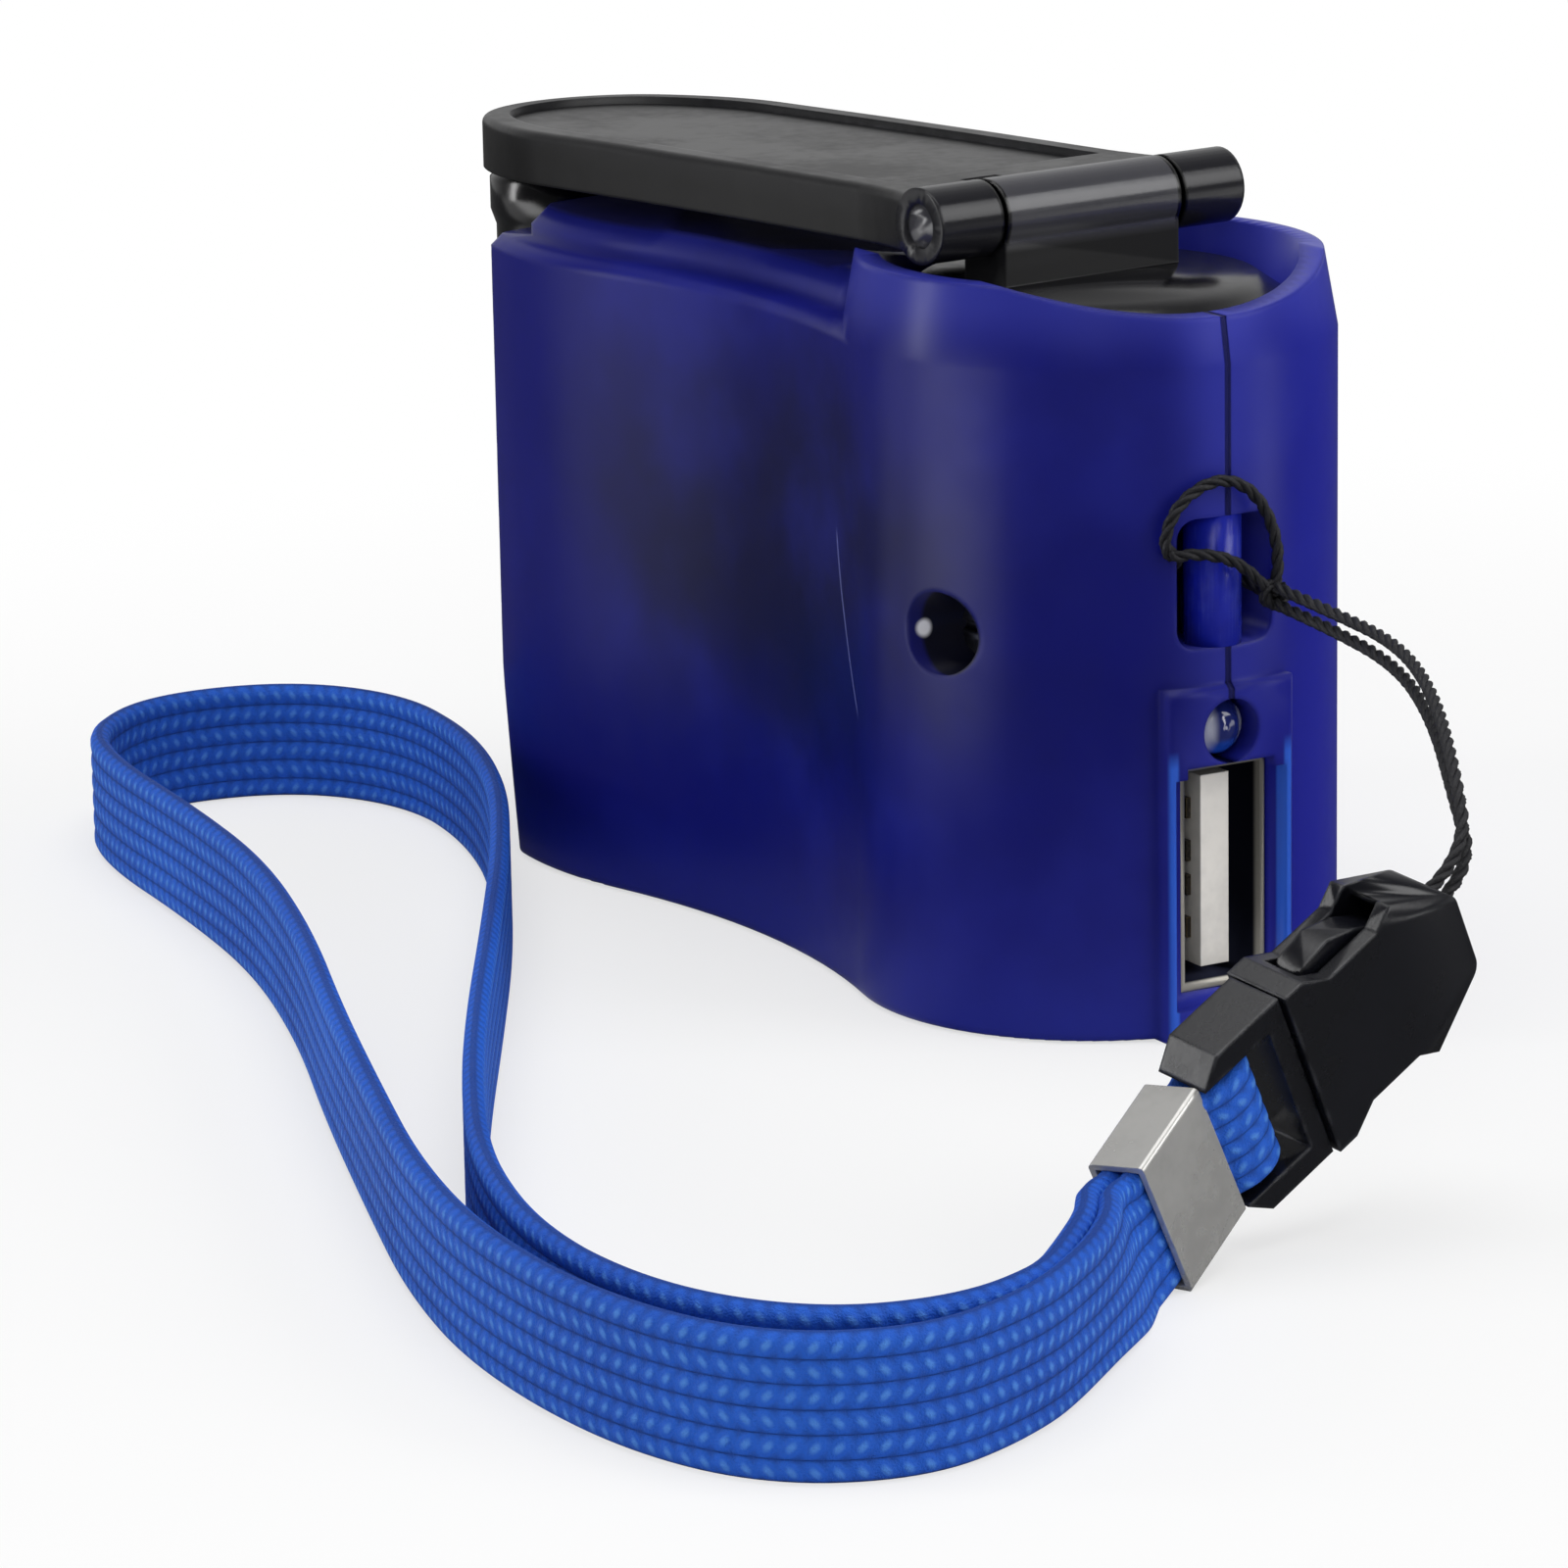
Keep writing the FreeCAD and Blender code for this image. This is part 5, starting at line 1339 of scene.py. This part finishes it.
@dataclass
class WristStrap(SubAssembly):
    """The braided wrist loop, its fold round the buckle's bar and the crimp.

    Attributes:
        ribbon: the braid.
        layer: how far each of its two layers is from the crimp's middle, in millimetres.
        height: height of its middle above the table, in millimetres.
        step: distance of the loop's points, in metres.
        fold_step: distance of the fold's points, in metres.
        stiff: length beside the crimp that keeps the crimp's lean, in metres.
        easing: length over which it turns upright, in metres.
        bar: where the fold goes round the bar, back and front, in millimetres behind the plug's origin.
        bulge: how far the fold stands off the middle there, in millimetres.
    """

    ribbon: Ribbon = field(default_factory=Ribbon)
    layer: float = 0.65
    height: float = 3.7
    step: float = 0.0007
    fold_step: float = 0.00025
    stiff: float = 0.004
    easing: float = 0.014
    bar: tuple[float, float] = (-4.9, -3.9)
    bulge: float = 1.15

    def end(self, side: float) -> list[Vector]:
        """The route's points from inside the crimp down towards the table, for the layer on one side."""
        stations = ((CRIMP_LENGTH * 0.5, 0.0), (CRIMP_LENGTH, 0.0), (CRIMP_LENGTH + 2.2, 0.35))
        return [CRIMP.point(-behind, side * self.layer, above) for behind, above in stations]

    def build(self) -> Piece:
        """Builds the loop, the fold and the crimp's dress.

        Returns:
            The loop's object.
        """
        table = [metres(x, y, self.height) for x, y in STRAP_ROUTE]
        route = self.end(-1.0) + table + self.end(1.0)[::-1]
        line = spaced(sampled(route, "strap_route"), self.step)
        total = length_of(line)
        crimp_up = CRIMP.matrix().to_3x3() @ UP
        ups, run = [], 0.0
        for index, point in enumerate(line):
            if index:
                run += (point - line[index - 1]).length
            near = min(run, total - run)
            ease = min(1.0, max(0.0, 1 - (near - self.stiff) / self.easing))
            ease = ease * ease * (3 - 2 * ease)
            ups.append(UP.lerp(crimp_up, ease).normalized())
        strap = new_piece("wrist_strap", self.ribbon.mesh("wrist_strap", line, ups), self.palette.braid)
        self.stand(strap, "housing", "strap", "strap_loop", "strap_end_outer", "strap_end_inner")
        bright = self.palette.moulded["bright"]
        crimp = self.smooth("strap_crimp", "strap_crimp_bright", "housing", bright, "crimp")
        fold = self.fold()
        LOG.info("wrist_strap is %.1f mm long", total / MM)
        return strap

    def fold(self) -> Piece:
        """The short fold from the crimp round the plug's bar.

        Returns:
            The fold's object.
        """
        start = -PLUG_LENGTH - CRIMP_ROOM
        back, front = self.bar
        half = [(start + 0.1, self.layer), (start + 0.7, 0.68), (back - 0.5, 1.0), (back, self.bulge),
                (front, self.bulge), (front + 0.8, 0.75), (front + 1.0, 0.0)]
        route = half + [(x, -y) for x, y in reversed(half[:-1])]
        line = spaced(sampled([metres(x, y, 0) for x, y in route], "fold_route"), self.fold_step)
        mesh = self.ribbon.mesh("strap_fold", line, [UP] * len(line))
        mesh.transform(BUCKLE.matrix())
        return self.stand(new_piece("strap_fold", mesh, self.palette.braid), "housing", "strap", "strap_tab")


class TwistTree:
    """A Geometry Nodes tree that lays twisted plies along a line of points."""

    plies = 3
    ply_share = 0.27
    lay_share = 0.23
    turn_share = 0.26

    def __init__(self) -> None:
        """Builds the tree with its named inputs."""
        self.tree = bpy.data.node_groups.new("twisted_plies", "GeometryNodeTree")
        face = self.tree.interface
        face.new_socket("Line", in_out="INPUT", socket_type="NodeSocketGeometry")
        for name, kind, number in (("Ply Radius", "Float", 0.00026), ("Lay Radius", "Float", 0.00024),
                                   ("Turns per Metre", "Float", 420.0), ("Sides", "Int", 8)):
            face.new_socket(name, in_out="INPUT", socket_type="NodeSocket" + kind).default_value = number
        face.new_socket("Finish", in_out="INPUT", socket_type="NodeSocketMaterial")
        face.new_socket("Cord", in_out="OUTPUT", socket_type="NodeSocketGeometry")
        graph = Graph(self.tree)
        entry = self.tree.nodes.new("NodeGroupInput").outputs
        leave = self.tree.nodes.new("NodeGroupOutput")
        line = graph.add("GeometryNodeMeshToCurve", Mesh=entry["Line"])
        along = self.tree.nodes.new("GeometryNodeSplineParameter")
        tilt = graph.times(along.outputs["Length"], entry["Turns per Metre"], 2 * math.pi)
        twisted = graph.add("GeometryNodeSetCurveTilt", Curve=line.outputs[0], Tilt=tilt)
        ply = graph.add("GeometryNodeCurvePrimitiveCircle", Resolution=entry["Sides"],
                        Radius=entry["Ply Radius"])
        joined = self.tree.nodes.new("GeometryNodeJoinGeometry")
        for index in range(self.plies):
            turn = 2 * math.pi * index / self.plies
            place = graph.add("ShaderNodeCombineXYZ", X=graph.times(entry["Lay Radius"], math.cos(turn)),
                              Y=graph.times(entry["Lay Radius"], math.sin(turn)))
            moved = graph.add("GeometryNodeTransform", Geometry=ply.outputs["Curve"],
                              Translation=place.outputs[0])
            self.tree.links.new(moved.outputs[0], joined.inputs[0])
        swept = graph.add("GeometryNodeCurveToMesh", Curve=twisted.outputs[0],
                          Profile_Curve=joined.outputs[0], Fill_Caps=True)
        smooth = graph.add("GeometryNodeSetShadeSmooth", Geometry=swept.outputs[0])
        real = graph.add("GeometryNodeRealizeInstances", Geometry=smooth.outputs[0])
        dressed = graph.add("GeometryNodeSetMaterial", Geometry=real.outputs[0], Material=entry["Finish"])
        graph.feed(leave, "Cord", dressed.outputs[0])

    def lay(self, name: str, line: list[Vector], material: Paint, thick: float) -> Piece:
        """A twisted cord along a line, as a plain mesh.

        Args:
            name: the piece's name.
            line: its centre line.
            material: its finish.
            thick: its diameter in metres.

        Returns:
            The piece's object.
        """
        wire = bpy.data.meshes.new(name + "_line")
        links = [(index, index + 1) for index in range(len(line) - 1)]
        wire.from_pydata([tuple(point) for point in line], links, [])
        carrier = bpy.data.objects.new(name, wire)
        bpy.context.scene.collection.objects.link(carrier)
        modifier = carrier.modifiers.new("plies", "NODES")
        modifier.node_group = self.tree
        given = {"Ply Radius": thick * self.ply_share, "Lay Radius": thick * self.lay_share,
                 "Turns per Metre": self.turn_share / thick, "Finish": material}
        for item in self.tree.interface.items_tree:
            if item.item_type == "SOCKET" and item.in_out == "INPUT" and item.name in given:
                modifier[item.identifier] = given[item.name]
        bpy.context.view_layer.update()
        graph = bpy.context.evaluated_depsgraph_get()
        mesh = bpy.data.meshes.new_from_object(carrier.evaluated_get(graph))
        bpy.data.objects.remove(carrier)
        bpy.data.meshes.remove(wire)
        return new_piece(name, mesh, material)


@dataclass
class Buckle(SubAssembly):
    """The two halves of the side release buckle."""

    def build(self) -> list[Piece]:
        """Dresses both halves and returns them."""
        black = self.palette.moulded["buckle"]
        return [self.smooth("buckle_socket", "buckle_socket_black", "housing", black, "buckle"),
                self.smooth("buckle_plug", "buckle_plug_black", "housing", black, "buckle")]


KNOT_MIDDLE = (15.18, 2.4, 25.35)
STRAND_ROUTE = ((KNOT_MIDDLE, 1.0), ((20.0, 2.8, 24.8), 1.0), ((28.0, 1.9, 24.4), 1.3),
                ((35.2, -0.9, 23.3), 1.6), ((42.2, -4.6, 21.2), 1.6))
HITCH_LOOP = (
    KNOT_MIDDLE, (15.3, 2.75, 26.9), (15.0, 2.5, 29.4), (14.85, 1.1, 31.6), (14.8, -1.2, 32.4),
    (14.5, -3.5, 31.2), (14.2, -4.3, 29.2), (14.2, -4.0, 28.0), (14.5, -2.6, 28.2), (14.9, -0.6, 27.8),
    (15.0, 1.0, 26.8), (15.1, 2.0, 25.7))
HITCH_BEHIND = (
    (14.2, -4.1, 28.6), (13.5, -2.8, 27.7), (12.2, -2.5, 27.0), (10.8, -1.9, 26.6), (10.3, 0.0, 26.3),
    (10.8, 1.8, 25.9), (12.2, 2.5, 25.6), (14.0, 2.7, 25.2), KNOT_MIDDLE)


@dataclass
class Lanyard(SubAssembly):
    """The thin cord: its hitch round the post and the two strands to the buckle.

    Attributes:
        diameter: the cord's diameter in metres.
        step: distance of its points in metres.
        apart: how far each strand is from their middle line at the knot, in millimetres.
        socket_length: from the buckle's origin to its nose, in millimetres.
        straight: how far a strand runs straight out of the nose, in millimetres.
        knot_points: number of points of the knot's coil.
        knot_turn: points in one of its turns.
        knot_radius: its radius in millimetres.
        knot_half: half its length in millimetres.
        knot_thickness: thickness of its cord as a share of the diameter.
    """

    diameter: float = 0.00076
    step: float = 0.0003
    apart: float = 0.48
    socket_length: float = 12.0
    straight: float = 3.2
    knot_points: int = 25
    knot_turn: int = 11
    knot_radius: float = 0.62
    knot_half: float = 0.3
    knot_thickness: float = 0.9

    def line(self, points: list[Vector], name: str) -> list[Vector]:
        """The cord's line through a route's points."""
        return spaced(sampled(points, name), self.step)

    def strand_route(self, lift: float, side: float) -> list[Vector]:
        """The points of one strand.

        Args:
            lift: where it enters the nose, across the buckle.
            side: 1 for the upper strand and -1 for the lower one.

        Returns:
            The route's points.
        """
        beside = side * self.apart
        hanging = [metres(x, y, z + beside * share) for (x, y, z), share in STRAND_ROUTE]
        return hanging + [BUCKLE.point(self.socket_length + out, 0, lift) for out in (self.straight, 0.0)]

    def build(self, buckle: list[Piece]) -> None:
        """Builds the strands and the hitch.

        Args:
            buckle: the buckle's pieces, which hang on the strands.
        """
        twist = TwistTree()
        for name, lift, side in (("string_upper", 1.9, 1.0), ("string_lower", 0.7, -1.0)):
            line = self.line(self.strand_route(lift, side), name + "_route")
            piece = twist.lay(name + "_cord", line, self.palette.cord, self.diameter)
            self.stand(piece, "housing", "string", name)
            LOG.info("%s is %.1f mm long", name, length_of(line) / MM)
        self.hitch(twist)

    def hitch(self, twist: TwistTree) -> None:
        """The hitch round the post: its standing loop, the strand behind and the knot.

        Args:
            twist: the tree that twists the cord.
        """
        parts = [twist.lay(name, self.line([metres(*point) for point in points], name), self.palette.cord,
                           self.diameter)
                 for name, points in (("hitch_loop", HITCH_LOOP), ("hitch_behind", HITCH_BEHIND))]
        joined = self.join(parts)
        joined.name = "string_hitch"
        self.stand(joined, "housing", "string", "string_noose")
        x, y, z = KNOT_MIDDLE
        middle = self.knot_points // 2
        turns = []
        for index in range(self.knot_points):
            angle = index * 2 * math.pi / self.knot_turn
            turns.append(metres(x + self.knot_half * (index - middle) / middle,
                                y + self.knot_radius * math.cos(angle),
                                z + self.knot_radius * math.sin(angle)))
        knot = twist.lay("string_knot_cord", self.line(turns, "knot"), self.palette.cord,
                         self.diameter * self.knot_thickness)
        self.stand(knot, "housing", "string", "string_knot")

    def join(self, pieces: list[Piece]) -> Piece:
        """Several pieces of one finish joined into the first.

        Args:
            pieces: the pieces, all at the origin.

        Returns:
            The first piece, which now holds all the meshes.
        """
        work = bmesh.new()
        for piece in pieces:
            work.from_mesh(piece.data)
        work.to_mesh(pieces[0].data)
        work.free()
        for piece in pieces[1:]:
            bpy.data.objects.remove(piece)
        return pieces[0]


# ------------------------------------------------------------------ studio


@dataclass(frozen=True)
class Lamp:
    """A soft rectangular lamp.

    Attributes:
        name: its name.
        place: where it stands, in metres.
        size: its width and height in metres.
        power: its power in watts.
    """

    name: str
    place: Point
    size: tuple[float, float]
    power: float


LAMPS = (
    Lamp("left_box", (-0.26, -0.49, 0.17), (0.11, 0.30), 0.75),
    Lamp("right_box", (0.36, 0.36, 0.34), (0.30, 0.34), 1.1),
    Lamp("top_box", (0.02, -0.05, 0.62), (0.60, 0.50), 2.4),
    Lamp("front_box", (0.60, -0.36, 0.42), (0.30, 0.30), 0.5),
    Lamp("low_strip", (0.52, 0.26, 0.14), (0.06, 0.16), 0.2),
)


@dataclass(frozen=True)
class Card:
    """A pale patch of the floor that only a gloss shows.

    Attributes:
        starts: steps in which it brightens, each from one angle to another in radians and by how much.
        end: the angles in radians between which it ends.
        reach: the distances in metres between which its strength changes.
        close: its strength up to the first of them.
        far: its strength from the second of them on.
    """

    starts: tuple[Point, ...]
    end: tuple[float, float]
    reach: tuple[float, float]
    close: float
    far: float

    def strength(self, graph: Graph, way: Socket, distance: Socket) -> Socket:
        """How bright the card is at a place.

        Args:
            graph: the floor's graph.
            way: the place's angle.
            distance: its distance from the origin.

        Returns:
            The strength.
        """
        risen = graph.plus(*(graph.span(way, *step[:2], 0.0, step[2], True) for step in self.starts))
        return graph.times(risen, graph.span(way, *self.end, 1.0, 0.0, True),
                           graph.span(distance, *self.reach, self.close, self.far, True))


CARDS = (
    Card(((-2.50, -2.40, 0.7), (-2.15, -1.78, 2.3)), (-1.5, -1.15), (0.05, 0.12), 0.1, 1.0),
    Card(((0.75, 0.85, 1.0),), (1.0, 1.12), (0.09, 0.15), 0.0, 1.9),
)


@dataclass
class Studio:
    """The floor, the lamps and the camera.

    Attributes:
        eye: where the camera stands, in metres.
        target: what it looks at.
        roll: its roll in degrees.
        lens: its lens in millimetres.
        sensor: width of its sensor in millimetres.
        clip: its nearest distance in metres.
        aim: what the lamps point at.
        room: how strong the surroundings are as light.
        front_gloss: how bright they look in a gloss on the camera's side.
        back_gloss: how bright they look in a gloss on the other side.
        facing: where the one turns into the other, as cosines to the camera's line.
        floor_gloss: how bright the floor looks in a gloss.
        floor_half: half the floor's width in metres.
        floor_drop: how far it lies below the base, in metres.
        floor_tone: its colour.
        shadow_reach: the distances in metres between which its shadow fades.
        shadow_share: how white it is seen close by.
    """

    eye: Point = (0.322423, -0.206646, 0.109020)
    target: Point = (-0.021363, -0.008388, 0.008249)
    roll: float = -1.043
    lens: float = 155.72
    sensor: float = 36.0
    clip: float = 0.01
    aim: Point = (-0.01, 0.0, 0.025)
    room: float = 0.32
    front_gloss: float = 0.06
    back_gloss: float = 0.62
    facing: tuple[float, float] = (-0.1, 0.85)
    floor_gloss: float = 0.1
    floor_half: float = 4.0
    floor_drop: float = 0.00005
    floor_tone: float = 0.82
    shadow_reach: tuple[float, float] = (0.05, 0.16)
    shadow_share: float = 0.62

    def camera(self) -> None:
        """Places the camera."""
        data = bpy.data.cameras.new("camera")
        data.lens = self.lens
        data.sensor_width = self.sensor
        data.clip_start = self.clip
        camera = bpy.data.objects.new("camera", data)
        bpy.context.scene.collection.objects.link(camera)
        back = (Vector(self.eye) - Vector(self.target)).normalized()
        right = UP.cross(back).normalized()
        above = back.cross(right)
        turn = math.radians(self.roll)
        across = right * math.cos(turn) + above * math.sin(turn)
        above = back.cross(across)
        axes = Matrix((across, above, back)).transposed().to_4x4()
        camera.matrix_world = Matrix.Translation(Vector(self.eye)) @ axes
        bpy.context.scene.camera = camera

    def light(self, made: Lamp) -> None:
        """Places one lamp.

        Args:
            made: the lamp.
        """
        data = bpy.data.lights.new(made.name, "AREA")
        data.shape = "RECTANGLE"
        data.size, data.size_y = made.size
        data.energy = made.power
        lamp = bpy.data.objects.new(made.name, data)
        bpy.context.scene.collection.objects.link(lamp)
        lamp.location = made.place
        lamp.rotation_euler = (Vector(made.place) - Vector(self.aim)).to_track_quat("Z", "Y").to_euler()

    def floor(self) -> None:
        """A plain pale floor that runs far out: white where it is seen, grey with pale cards in a gloss."""
        half = self.floor_half
        mesh = bpy.data.meshes.new("floor")
        mesh.from_pydata([(-half, -half, 0), (half, -half, 0), (half, half, 0), (-half, half, 0)], [],
                         [(0, 1, 2, 3)])
        mesh.transform(Matrix.Translation((0, 0, -self.floor_drop)))
        material = bpy.data.materials.new("pale_floor")
        material.use_nodes = True
        nodes = material.node_tree.nodes
        nodes.remove(nodes["Principled BSDF"])
        graph = Graph(material.node_tree)
        x, y, _ = graph.split()
        far = graph.distance(x, y)
        way = graph.maths("ARCTAN2", y, x)
        seen, mirrored = graph.rays()
        cards = graph.plus(*(card.strength(graph, way, far) for card in CARDS), self.floor_gloss)
        paint = graph.add("ShaderNodeBsdfDiffuse", Color=(self.floor_tone,) * 3 + (1.0,))
        glow = graph.add("ShaderNodeEmission", Color=WHITE,
                         Strength=graph.span(mirrored, 0.0, 1.0, 1.0, cards))
        white = graph.times(seen, graph.span(far, *self.shadow_reach, self.shadow_share, 1.0, True))
        mixed = graph.add("ShaderNodeMixShader", Fac=graph.maths("MAXIMUM", white, mirrored))
        for place, shader in ((1, paint), (2, glow)):
            graph.feed(mixed, place, shader.outputs[0])
        graph.set(nodes["Material Output"], Surface=mixed.outputs[0])
        new_piece("floor", mesh, material)

    def world(self) -> None:
        """Pale surroundings: white where they are seen, softer as light."""
        world = bpy.data.worlds.new("surroundings")
        world.use_nodes = True
        bpy.context.scene.world = world
        graph = Graph(world.node_tree)
        line = Vector(self.target) - Vector(self.eye)
        around = graph.tree.nodes.new("ShaderNodeTexCoord").outputs["Generated"]
        low, high = (share * line.length for share in self.facing)
        gloss = graph.span(graph.vectors("DOT_PRODUCT", around, line), low, high, self.front_gloss,
                           self.back_gloss, True)
        seen, mirrored = graph.rays()
        lit = graph.span(mirrored, 0.0, 1.0, self.room, gloss)
        graph.set(world.node_tree.nodes["Background"], Color=WHITE,
                  Strength=graph.span(seen, 0.0, 1.0, lit, 1.0))

    def build(self) -> None:
        """Builds the studio."""
        self.camera()
        self.floor()
        self.world()
        for made in LAMPS:
            self.light(made)
        bpy.context.scene.view_settings.view_transform = "Standard"


def main() -> None:
    """Builds the charger on its frame."""
    logging.basicConfig(level=logging.INFO, format="%(message)s")
    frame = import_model()
    Studio().build()
    palette = Palette(Effects())
    Lanyard(frame, palette).build(Buckle(frame, palette).build())
    WristStrap(frame, palette).build()
    Housing(frame, palette).build()
    GearTrain(frame, palette).build()
    Crank(frame, palette).build()


if __name__ == "__main__":
    main()
